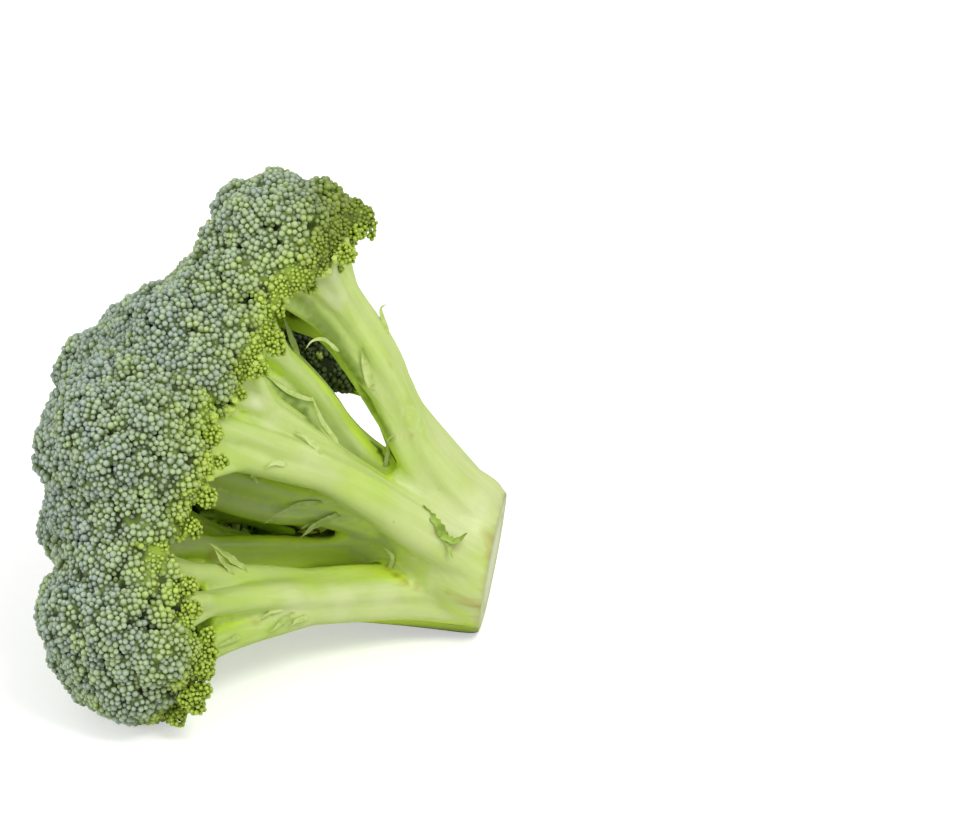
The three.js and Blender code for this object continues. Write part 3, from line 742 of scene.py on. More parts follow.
def tube(line, radii, sides, flute=0.0, phase=0.0):
    """The vertices and faces of a closed stem along a line."""
    tangents, across = turned_along(line, cross_axes(unit(line[1] - line[0]))[0])
    up = np.cross(tangents, across)
    angles = np.linspace(0, 2 * math.pi, sides, endpoint=False)
    swell = 1 + flute * np.cos(3 * angles + phase) + 0.6 * flute * np.cos(5 * angles - 2 * phase)
    ring = np.cos(angles)[None, :, None] * across[:, None] + np.sin(angles)[None, :, None] * up[:, None]
    rings = line[:, None] + ring * (np.asarray(radii)[:, None] * swell[None])[:, :, None]
    vertices = np.vstack([rings.reshape(-1, 3), line[0], line[-1]])
    count = len(line)
    faces = ring_faces(count, sides)
    first, last = count * sides, count * sides + 1
    for side in range(sides):
        faces.append((first, (side + 1) % sides, side))
        faces.append((last, (count - 1) * sides + side, (count - 1) * sides + (side + 1) % sides))
    return vertices, faces


def square(half):
    """The corners of a level square round the origin."""
    return [(-half, -half, 0), (half, -half, 0), (half, half, 0), (-half, half, 0)]


def joined(solids):
    """Several vertex and face lists as one."""
    vertices, faces, start = [], [], 0
    for points, polygons in solids:
        vertices.append(points)
        faces += [tuple(index + start for index in face) for face in polygons]
        start += len(points)
    return np.vstack(vertices), faces


def base_line():
    """The line and radii of the undivided base."""
    samples, past_the_cut, waist_share, thinning = 25, 5, 0.65, 0.65
    waist_bend, end_bend = np.array([0, -1, 8]), np.array([0, -1, 22])
    start = CUT_CENTRE + CUT_NORMAL * past_the_cut
    waist = CUT_CENTRE - CUT_NORMAL * waist_share * BASE_LENGTH + waist_bend
    end = CUT_CENTRE - CUT_NORMAL * BASE_LENGTH + end_bend
    radii = CUT_RADIUS * (1 - thinning * smooth_step(0.3, 1.1, np.linspace(0, 1, samples)))
    return smooth_line([start, waist, end], samples), radii


def leaf_path(tree, seen, lift):
    """The middle line of a small leaf, from inside the flesh to its lifted tip."""
    x, height = seen[0]
    steps = (0, -1, 1, -2, 2, -3, 3, -4, 4)
    feet = [foot for foot in (front_hit(tree, x + step, height) for step in steps) if foot is not None]
    if not feet:
        raise ValueError(f"no flesh at {seen[0]} for a small leaf to stand on")
    place, normal = feet[0]
    depth = place @ TOWARD
    path = [place - normal * LEAF_ROOT, place - normal * 0.2]
    for number, (x, height) in enumerate(seen[1:], 1):
        share = number / (len(seen) - 1)
        depth_here = depth + lift * share
        beside = front_hit(tree, x, height)
        if beside is not None:
            depth_here = max(depth_here, beside[0] @ TOWARD + LEAF_CLEAR + 0.5 * lift * share)
        path.append(np.array([x, 0, 0]) + UPWARD * height + TOWARD * depth_here)
    return smooth_line(path, LEAF_SAMPLES)


def leaf_blade(tree, seen, lift, width, ragged, number):
    """A thin curled leaf with a ragged edge."""
    line = leaf_path(tree, seen, lift)
    tangents = unit(np.gradient(line, axis=0))
    teeth = np.random.default_rng(LEAF_SEED + number).random((LEAF_SAMPLES, 2))
    rows = []
    for index, (middle, tangent) in enumerate(zip(line, tangents)):
        t = index / (LEAF_SAMPLES - 1)
        side = unit(np.cross(tangent, TOWARD))
        out = np.cross(side, tangent)
        half = 0.5 * width * (0.75 + 0.5 * math.sin(math.pi * t)) * (1 - t**2.5) + LEAF_EDGE
        left, right = half * (1 - ragged * teeth[index])
        thick = LEAF_THICK - LEAF_THINNING * t
        for k in range(LEAF_SIDES):
            turn = 2 * math.pi * k / LEAF_SIDES
            reach = (right if math.cos(turn) > 0 else left) * math.cos(turn)
            cup = LEAF_CUP * width * math.cos(turn) ** 2
            rows.append(middle + side * reach + out * (thick * math.sin(turn) + cup))
    faces = [(a, d, c, b) for a, b, c, d in ring_faces(LEAF_SAMPLES, LEAF_SIDES)]
    last = (LEAF_SAMPLES - 1) * LEAF_SIDES
    faces.append(tuple(range(LEAF_SIDES)))
    faces.append(tuple(reversed(range(last, last + LEAF_SIDES))))
    return np.array(rows), faces


def shelter_shade(points, normals, blockers):
    """How far each point is closed in, from 0 in the open to 1 in a deep gap, as the measure of painted
    shade.
    """
    rays, reach, start = 10, 70.0, 0.8
    directions = unit(np.random.default_rng(SHELTER_SEED).normal(size=(rays, 3)))
    closed = np.zeros(len(points))
    for direction in directions:
        aims = unit(normals * 1.02 + direction)
        for index, (point, aim) in enumerate(zip(points, aims)):
            _, _, _, distance = blockers.ray_cast(Vector(point + aim * start), Vector(aim), reach)
            if distance is not None:
                closed[index] += 1 - distance / reach
    return closed / rays


# ---------- Shader groups and materials ----------

class Nodes:
    """Adds nodes to a tree and links them in one call."""

    def __init__(self, tree):
        self.tree = tree

    def add(self, kind, inputs=None, **settings):
        """A new node with its settings, and its inputs linked or set."""
        node = self.tree.nodes.new(kind)
        for name, value in settings.items():
            setattr(node, name, value)
        for name, value in (inputs or {}).items():
            self.put(node.inputs[name], value)
        return node

    def put(self, socket, value):
        """Links another socket to this one, or sets its own value."""
        if isinstance(value, bpy.types.NodeSocket):
            self.tree.links.new(value, socket)
        else:
            socket.default_value = value

    def math(self, operation, first, second=0.0, clamp=False):
        node = self.add("ShaderNodeMath", {0: first, 1: second}, operation=operation, use_clamp=clamp)
        return node.outputs[0]

    def times(self, value, factor):
        return self.math("MULTIPLY", value, factor)

    def spread(self, value, low, high, strength):
        """A value stretched from a range to 0 to 1, and then weakened."""
        node = self.add("ShaderNodeMapRange", {"Value": value, "From Min": low, "From Max": high})
        return self.times(node.outputs[0], strength)

    def mix(self, share, first, second, blend="MIX"):
        node = self.add("ShaderNodeMix", data_type="RGBA", blend_type=blend)
        factor, colour_a, colour_b = node.inputs[0], node.inputs[6], node.inputs[7]
        for socket, value in ((factor, share), (colour_a, first), (colour_b, second)):
            self.put(socket, value)
        return node.outputs[2]

    def ramp(self, value, stops):
        node = self.add("ShaderNodeValToRGB", {"Fac": value})
        ramp = node.color_ramp
        while len(ramp.elements) < len(stops):
            ramp.elements.new(0.5)
        for element, (place, colour) in zip(ramp.elements, stops):
            element.position = place
            element.color = colour
        return node.outputs["Color"]

    def attribute(self, name, output="Fac"):
        return self.add("ShaderNodeAttribute", attribute_name=name).outputs[output]

    def object_place(self):
        return self.add("ShaderNodeTexCoord").outputs["Object"]

    def noise(self, vector, scale, detail):
        node = self.add("ShaderNodeTexNoise", {"Vector": vector, "Scale": scale, "Detail": detail})
        return node.outputs[0]

    def mottle(self, vector, scale, low, high):
        """The mask of one plant mottle group."""
        node = self.add("ShaderNodeGroup", node_tree=mottle_group())
        for name, value in {"Vector": vector, "Scale": scale, "Low": low, "High": high}.items():
            self.put(node.inputs[name], value)
        return node.outputs["Mask"]


def group(name, inputs, outputs):
    """An empty shader group with its sockets."""
    tree = bpy.data.node_groups.new(name, "ShaderNodeTree")
    for label, kind, default in inputs:
        socket = tree.interface.new_socket(label, in_out="INPUT", socket_type=kind)
        if default is not None:
            socket.default_value = default
    for label, kind in outputs:
        tree.interface.new_socket(label, in_out="OUTPUT", socket_type=kind)
    nodes = Nodes(tree)
    return tree, nodes, nodes.add("NodeGroupInput"), nodes.add("NodeGroupOutput")


def mottle_group():
    """Soft uneven patches, as ripeness leaves on a plant."""
    found = bpy.data.node_groups.get("plant mottle")
    if found:
        return found
    tree, nodes, source, sink = group(
        "plant mottle",
        [("Vector", "NodeSocketVector", None), ("Scale", "NodeSocketFloat", 60.0),
         ("Low", "NodeSocketFloat", 0.4), ("High", "NodeSocketFloat", 0.6)],
        [("Mask", "NodeSocketFloat")],
    )
    noise = nodes.noise(source.outputs["Vector"], source.outputs["Scale"], 3.0)
    spread = nodes.add("ShaderNodeMapRange", {
        "Value": noise, "From Min": source.outputs["Low"], "From Max": source.outputs["High"],
    })
    tree.links.new(spread.outputs[0], sink.inputs["Mask"])
    return tree


def new_material(name):
    """A new material, its nodes and its shader."""
    material = bpy.data.materials.new(name)
    material.use_nodes = True
    nodes = Nodes(material.node_tree)
    return material, nodes, material.node_tree.nodes["Principled BSDF"]


def set_shader(nodes, shader, values, colour=None, bump=None):
    """Sets a shader's plain values, and links its colour and its bump."""
    for name, value in values.items():
        shader.inputs[name].default_value = value
    if colour is not None:
        nodes.tree.links.new(colour, shader.inputs["Base Color"])
    if bump is not None:
        height, strength, distance = bump
        raised = nodes.add("ShaderNodeBump", {
            "Height": height, "Strength": strength, "Distance": distance,
        })
        nodes.tree.links.new(raised.outputs[0], shader.inputs["Normal"])


def bud_material(colours):
    """Flower buds: pale at the tip, partly waxy bloom and partly a painted highlight; darker at their foot
    and between tufts as painted shade; yellower towards the rim.
    """
    material, nodes, shader = new_material("buds")
    place = nodes.object_place()
    height, tone = map(nodes.attribute, ("bud_height", "bud_tone"))
    rim, crease, shade_dim = map(nodes.attribute, ("rim", "crease", "shade_dim"))
    patch = nodes.mottle(place, 42.0, 0.42, 0.7)
    spots = nodes.mottle(place, 150.0, 0.5, 0.66)
    # Both ramps paint a highlight at the tip of each bud and shade at its foot.
    cool = nodes.ramp(height, [
        (0.0, linear(78, 98, 56)), (0.4, linear(108, 127, 94)), (0.74, tuple(colours.bud) + (1.0,)),
        (1.0, linear(178, 192, 188)),
    ])
    warm = nodes.ramp(height, [
        (0.0, linear(104, 128, 20)), (0.4, linear(140, 166, 40)), (0.74, tuple(colours.rim) + (1.0,)),
        (1.0, linear(196, 214, 112)),
    ])
    share = nodes.math("ADD", nodes.times(patch, 0.2), nodes.times(spots, 0.22))
    share = nodes.math("ADD", share, rim)
    uneven = nodes.times(nodes.math("SUBTRACT", tone, 0.5), 0.2)
    colour = nodes.mix(nodes.math("ADD", share, uneven, clamp=True), cool, warm)
    # Random tone, and painted shade where the tufts meet.
    shade = nodes.math("ADD", nodes.times(tone, 0.16), 0.9)
    shade = nodes.times(shade, nodes.math("ADD", nodes.times(crease, 0.34), 0.66))
    grey = nodes.add("ShaderNodeCombineColor", {0: shade, 1: shade, 2: shade}).outputs[0]
    colour = nodes.mix(1.0, colour, grey, "MULTIPLY")
    # Painted shade: dark olive on shaded florets and on the olive side.
    colour = nodes.mix(nodes.times(shade_dim, 0.82), colour, linear(36, 52, 13))
    grain = nodes.noise(place, 2600.0, 2.0)
    waxy = {"Roughness": 0.64, "Specular IOR Level": 0.28}
    set_shader(nodes, shader, waxy, colour, (grain, 0.25, 0.0002))
    return material


def core_material():
    """The growth between the buds, painted dark as shade where it lies deep and on shaded florets."""
    material, nodes, shader = new_material("under buds")
    rim, crease, shade_dim = map(nodes.attribute, ("rim", "crease", "shade_dim"))
    patch = nodes.mottle(nodes.object_place(), 500.0, 0.35, 0.65)
    colour = nodes.mix(patch, linear(88, 108, 54), linear(112, 132, 70))
    colour = nodes.mix(rim, colour, linear(150, 178, 52))
    # Painted shade: near black in the creases and holes.
    colour = nodes.mix(crease, linear(26, 38, 12), colour)
    # Painted shade on shaded florets and the olive side.
    colour = nodes.mix(nodes.times(shade_dim, 0.75), colour, linear(30, 42, 12))
    set_shader(nodes, shader, {"Roughness": 0.8}, colour)
    return material


def stalk_material(colours):
    """Pale green flesh with soft bands along it, greener towards the florets, with painted shade: greener
    in its hollows, near black in deep gaps, dark on one branch's side and underneath.
    """
    material, nodes, shader = new_material("stalk flesh")
    place = nodes.object_place()
    fibre = nodes.attribute("fibre", "Vector")
    along, tint_and_painted_light, hollow_shade = map(nodes.attribute, ("along", "tint_and_painted_light", "shelter_shade"))
    flank_shade, scar = map(nodes.attribute, ("flank_shade", "scar"))
    broad, streak = nodes.noise(fibre, 0.3, 1.0), nodes.noise(fibre, 0.8, 1.0)
    blotch = nodes.mottle(place, 42.0, 0.4, 0.66)
    spots = nodes.mottle(place, 130.0, 0.5, 0.72)
    green = nodes.math("ADD", nodes.spread(along, 0.05, 0.5, 0.55), nodes.spread(broad, 0.4, 0.62, 0.3))
    colour = tuple(colours.stalk) + (1.0,)
    for share, tone in (
        (green, (179, 207, 82)),
        # Partly the flesh's own tint, partly painted light and shade.
        (nodes.spread(tint_and_painted_light, 0.0, 1.0, 0.85), (188, 218, 70)),
        (nodes.spread(tint_and_painted_light, 0.0, -1.0, 0.85), (222, 230, 178)),
        (nodes.times(blotch, 0.35), (222, 232, 170)),
        (nodes.spread(streak, 0.5, 0.68, 0.24), (224, 234, 172)),
        (nodes.times(spots, 0.12), (150, 176, 62)),
        # Painted shade: greener where the flesh is half closed in.
        (nodes.spread(hollow_shade, 0.32, 0.6, 0.85), (220, 247, 68)),
        # Painted shade on the outer flank, in the fork and on the underside.
        (nodes.times(flank_shade, 0.85), (112, 140, 32)),
        # Painted shade: near black in deep gaps.
        (nodes.spread(hollow_shade, 0.73, 0.87, 0.95), (32, 48, 8)),
        (scar, (170, 152, 46)),
    ):
        colour = nodes.mix(share, colour, linear(*tone))
    moist = {
        "Roughness": 0.4, "Subsurface Weight": 0.12, "Subsurface Radius": (0.6, 1.0, 0.25),
        "Subsurface Scale": 0.004,
    }
    set_shader(nodes, shader, moist, colour, (streak, 0.18, 0.0005))
    return material


def cut_material():
    """The cut face: a pale pith inside a ring of vessels, and a drying rim."""
    material, nodes, shader = new_material("cut face")
    place = nodes.object_place()
    grain = nodes.noise(place, 420.0, 3.0)
    wander = nodes.times(nodes.math("SUBTRACT", grain, 0.5), 0.12)
    colour = nodes.ramp(nodes.math("ADD", nodes.attribute("cut_radius"), wander), [
        (0.0, linear(226, 232, 190)), (0.55, linear(214, 225, 168)), (0.68, linear(176, 196, 104)),
        (0.76, linear(206, 219, 150)), (0.9, linear(176, 190, 98)), (1.0, linear(158, 142, 84)),
    ])
    vessels = nodes.add("ShaderNodeTexVoronoi", {"Vector": place, "Scale": 520.0}).outputs[0]
    colour = nodes.mix(nodes.spread(vessels, 0.1, 0.35, 0.2), colour, linear(238, 240, 212))
    set_shader(nodes, shader, {"Roughness": 0.5}, colour, (grain, 0.5, 0.0005))
    return material


def leaf_material():
    """Small leaves: pale, some of them green, uneven all over."""
    material, nodes, shader = new_material("small leaves")
    patch = nodes.mottle(nodes.object_place(), 330.0, 0.44, 0.64)
    pale = nodes.mix(patch, linear(212, 226, 146), linear(188, 208, 106))
    deep = nodes.mix(patch, linear(150, 184, 48), linear(116, 142, 34))
    set_shader(nodes, shader, {"Roughness": 0.45}, nodes.mix(nodes.attribute("green"), pale, deep))
    return material


# ---------- Geometry trees ----------

def geometry_tree(name, inputs):
    """A geometry tree with its named inputs."""
    tree = bpy.data.node_groups.new(name, "GeometryNodeTree")
    tree.interface.new_socket("Geometry", in_out="INPUT", socket_type="NodeSocketGeometry")
    for label, kind in inputs:
        tree.interface.new_socket(label, in_out="INPUT", socket_type=kind)
    tree.interface.new_socket("Geometry", in_out="OUTPUT", socket_type="NodeSocketGeometry")
    nodes = Nodes(tree)
    return tree, nodes, nodes.add("NodeGroupInput"), nodes.add("NodeGroupOutput")


def finish_tree(nodes, geometry, source, sink):
    """Ends a tree: real geometry, smooth, with its material."""
    real = nodes.add("GeometryNodeRealizeInstances", {"Geometry": geometry})
    smooth = nodes.add("GeometryNodeSetShadeSmooth", {"Geometry": real.outputs[0]})
    painted = nodes.add("GeometryNodeSetMaterial", {
        "Geometry": smooth.outputs[0], "Material": source.outputs["Material"],
    })
    nodes.tree.links.new(painted.outputs[0], sink.inputs["Geometry"])


def bud_tree():
    """Buds packed over a surface where its cover attribute is 1."""
    tree, nodes, source, sink = geometry_tree("packed buds", [
        ("Spacing", "NodeSocketFloat"), ("Width", "NodeSocketFloat"), ("Sides", "NodeSocketInt"),
        ("Seed", "NodeSocketInt"), ("Material", "NodeSocketMaterial"),
    ])

    def named(label):
        node = nodes.add("GeometryNodeInputNamedAttribute", {"Name": label}, data_type="FLOAT")
        return node.outputs["Attribute"]

    def random(low, high, offset, kind="FLOAT"):
        node = nodes.add("FunctionNodeRandomValue", data_type=kind)
        first = 0 if kind == "FLOAT_VECTOR" else 2
        node.inputs[first].default_value = low
        node.inputs[first + 1].default_value = high
        seed = nodes.math("ADD", source.outputs["Seed"], offset)
        nodes.tree.links.new(seed, node.inputs["Seed"])
        return node.outputs[0 if kind == "FLOAT_VECTOR" else 1]

    covered = nodes.add("FunctionNodeCompare", {0: named("cover"), 1: 0.5}, operation="GREATER_THAN")
    scatter = nodes.add("GeometryNodeDistributePointsOnFaces", {
        "Mesh": source.outputs["Geometry"], "Selection": covered.outputs[0],
        "Distance Min": source.outputs["Spacing"], "Seed": source.outputs["Seed"],
    }, distribute_method="POISSON")
    scatter.inputs["Density Max"].default_value = 4.0e6  # so that only the spacing limits them
    crease = named("crease")
    sunk = nodes.times(nodes.math("SUBTRACT", 1.0, crease), -0.7 * MM)
    lift = nodes.math("ADD", sunk, random(-0.45 * MM, 0.4 * MM, 1))
    along = nodes.add("ShaderNodeVectorMath", {0: scatter.outputs["Normal"]}, operation="SCALE")
    nodes.tree.links.new(lift, along.inputs["Scale"])
    lifted = nodes.add("GeometryNodeSetPosition", {
        "Geometry": scatter.outputs["Points"], "Offset": along.outputs[0],
    })
    lean = random((-0.3, -0.3, 0), (0.3, 0.3, 6.28), 2, "FLOAT_VECTOR")
    tilt = nodes.add("FunctionNodeEulerToRotation", {0: lean})
    turned = nodes.add("FunctionNodeRotateRotation", {
        "Rotation": scatter.outputs["Rotation"], "Rotate By": tilt.outputs[0],
    }, rotation_space="LOCAL")
    smallest, largest = 0.76, 1.16
    size = nodes.times(random(smallest, largest, 3), nodes.math("ADD", nodes.times(crease, 0.22), 0.8))
    size = nodes.times(size, nodes.times(source.outputs["Width"], 0.5))
    rings = nodes.math("SUBTRACT", source.outputs["Sides"], 2.0)
    bud = nodes.add("GeometryNodeMeshUVSphere", {
        "Segments": source.outputs["Sides"], "Rings": rings, "Radius": 1.0,
    })
    position = nodes.add("GeometryNodeInputPosition")
    split = nodes.add("ShaderNodeSeparateXYZ", {0: position.outputs[0]})
    tall = nodes.math("MULTIPLY_ADD", split.outputs[2], 0.5)
    tall.node.inputs[2].default_value = 0.5
    marked = nodes.add("GeometryNodeStoreNamedAttribute", {
        "Geometry": bud.outputs["Mesh"], "Name": "bud_height", "Value": tall,
    }, data_type="FLOAT", domain="POINT")
    oval = (1, 1, 1.12)
    stretched = nodes.add("GeometryNodeTransform", {"Geometry": marked.outputs[0], "Scale": oval})
    placed = nodes.add("GeometryNodeInstanceOnPoints", {
        "Points": lifted.outputs[0], "Instance": stretched.outputs[0], "Rotation": turned.outputs[0],
    })
    three = nodes.add("ShaderNodeCombineXYZ", {0: size, 1: size, 2: size})
    nodes.tree.links.new(three.outputs[0], placed.inputs["Scale"])
    toned = nodes.add("GeometryNodeStoreNamedAttribute", {
        "Geometry": placed.outputs[0], "Name": "bud_tone", "Value": random(0.0, 1.0, 4),
    }, data_type="FLOAT", domain="INSTANCE")
    finish_tree(nodes, toned.outputs[0], source, sink)
    return tree


def stem_tree():
    """Round stems swept along every curve, as thick as the curve's own radius."""
    tree, nodes, source, sink = geometry_tree("swept stems", [
        ("Sides", "NodeSocketInt"), ("Material", "NodeSocketMaterial"),
    ])
    curve = nodes.add("GeometryNodeMeshToCurve", {"Mesh": source.outputs["Geometry"]})
    width = nodes.add("GeometryNodeInputNamedAttribute", {"Name": "width"}, data_type="FLOAT")
    ring = nodes.add("GeometryNodeCurvePrimitiveCircle", {
        "Resolution": source.outputs["Sides"], "Radius": 1.0,
    })
    swept = nodes.add("GeometryNodeCurveToMesh", {
        "Curve": curve.outputs[0], "Profile Curve": ring.outputs[0], "Fill Caps": True,
    })
    tree.links.new(width.outputs["Attribute"], swept.inputs["Scale"])
    finish_tree(nodes, swept.outputs[0], source, sink)
    return tree


def grow(obj, tree, **values):
    """Runs a geometry tree on an object, with its inputs set, and leaves a plain mesh."""
    name = obj.name
    modifier = obj.modifiers.new("grow", "NODES")
    modifier.node_group = tree
    for item in tree.interface.items_tree:
        if item.in_out == "INPUT" and item.name in values:
            modifier[item.identifier] = values[item.name]
    return plain_mesh(obj, name)


# ---------- Settings ----------

class BroccoliSizes(bpy.types.PropertyGroup):
    bud_width: bpy.props.FloatProperty(
        name="Bud width", description="Across one flower bud", default=0.00215, unit="LENGTH",
        precision=5)
    bud_spacing: bpy.props.FloatProperty(
        name="Bud spacing", description="Least distance between two buds", default=0.0014,
        unit="LENGTH", precision=5)
    tuft_pitch: bpy.props.FloatProperty(
        name="Tuft pitch", description="From one tuft of buds to the next", default=0.0084,
        unit="LENGTH", precision=5)
    flesh_grain: bpy.props.FloatProperty(
        name="Flesh grain", description="Finest form kept on the stalk", default=0.0009,
        unit="LENGTH", precision=5)


class BroccoliColours(bpy.types.PropertyGroup):
    bud: bpy.props.FloatVectorProperty(
        name="Buds", description="Main colour of the buds", default=linear(136, 153, 136)[:3],
        subtype="COLOR")
    rim: bpy.props.FloatVectorProperty(
        name="Rim", description="Buds near the rim", default=linear(168, 192, 66)[:3],
        subtype="COLOR")
    stalk: bpy.props.FloatVectorProperty(
        name="Stalk", description="Main colour of the stalk", default=linear(205, 218, 143)[:3],
        subtype="COLOR")


# ---------- Operators ----------

class BROCCOLI_OT_florets(bpy.types.Operator):
    """Builds the twelve florets with their buds"""

    bl_idname = "broccoli.florets"
    bl_label = "Florets"

    def execute(self, context):
        sizes, colours = context.scene.broccoli_sizes, context.scene.broccoli_colours
        florets = all_florets()
        tree, buds, core = bud_tree(), bud_material(colours), core_material()
        for floret in florets:
            others = all_but(floret, florets)
            parts = self.buds(floret, others, sizes, tree, buds)
            parts.append(self.growth_between(floret, others, sizes, core))
            with bpy.context.temp_override(
                active_object=parts[0], selected_objects=parts, selected_editable_objects=parts
            ):
                bpy.ops.object.join()
            parts[0].name = floret.name + "_buds"
            hand_over(parts[0], floret.name, floret.name)
        return {"FINISHED"}

    def bed(self, floret, others, pitch):
        """What the buds stand on, with its sprigs: points, faces and what is kept at each point."""
        form = canopy(floret, others, subdivisions=6, sink=BUD_BED, pitch=pitch)
        points, faces = form.pop("points"), list(form.pop("faces"))
        small, small_faces = ball(2)
        shaded = floret.name in SHADED
        on_sprigs = {"cover": 1, "crease": 1, "rim": 0.3 if shaded else 1, "edge": 1, "shade_dim": shaded}
        for place, size in sprigs(floret, others):
            start = len(points)
            points = np.vstack([points, place + small * size])
            faces += [[index + start for index in face] for face in small_faces]
            for key, value in on_sprigs.items():
                form[key] = np.concatenate([form[key], np.full(len(small), value)])
        return points, faces, form

    def buds(self, floret, others, sizes, tree, material):
        """The large and the small buds of a floret, as two objects."""
        points, faces, fields = self.bed(floret, others, sizes.tuft_pitch / MM)
        cover, edge = fields.pop("cover"), fields.pop("edge")
        parts = []
        for kind, here, width, spacing, sides in (
            ("large", edge < LARGE_BELOW, 1, 1, 6),
            ("small", edge > SMALL_ABOVE, SMALL_WIDTH, SMALL_SPACING, 5),
        ):
            mesh = mesh_of(f"{floret.name}.{kind}", points, faces)
            store(mesh, "cover", cover * here)
            for key, values in fields.items():
                store(mesh, key, values)
            parts.append(grow(
                object_of(mesh.name, mesh), tree, Spacing=sizes.bud_spacing * spacing,
                Width=sizes.bud_width * width, Sides=sides, Seed=floret.number + 1, Material=material,
            ))
        return parts

    def growth_between(self, floret, others, sizes, material):
        """The closed growth that shows between the buds."""
        pitch = sizes.tuft_pitch / MM
        form = canopy(floret, others, subdivisions=5, sink=BUD_BED + UNDER_BED, pitch=pitch)
        growth = object_of(floret.name + ".under", mesh_of("under", form["points"], form["faces"]))
        for key in ("crease", "rim", "shade_dim"):
            store(growth.data, key, form[key])
        growth.data.materials.append(material)
        for polygon in growth.data.polygons:
            polygon.use_smooth = True
        return growth


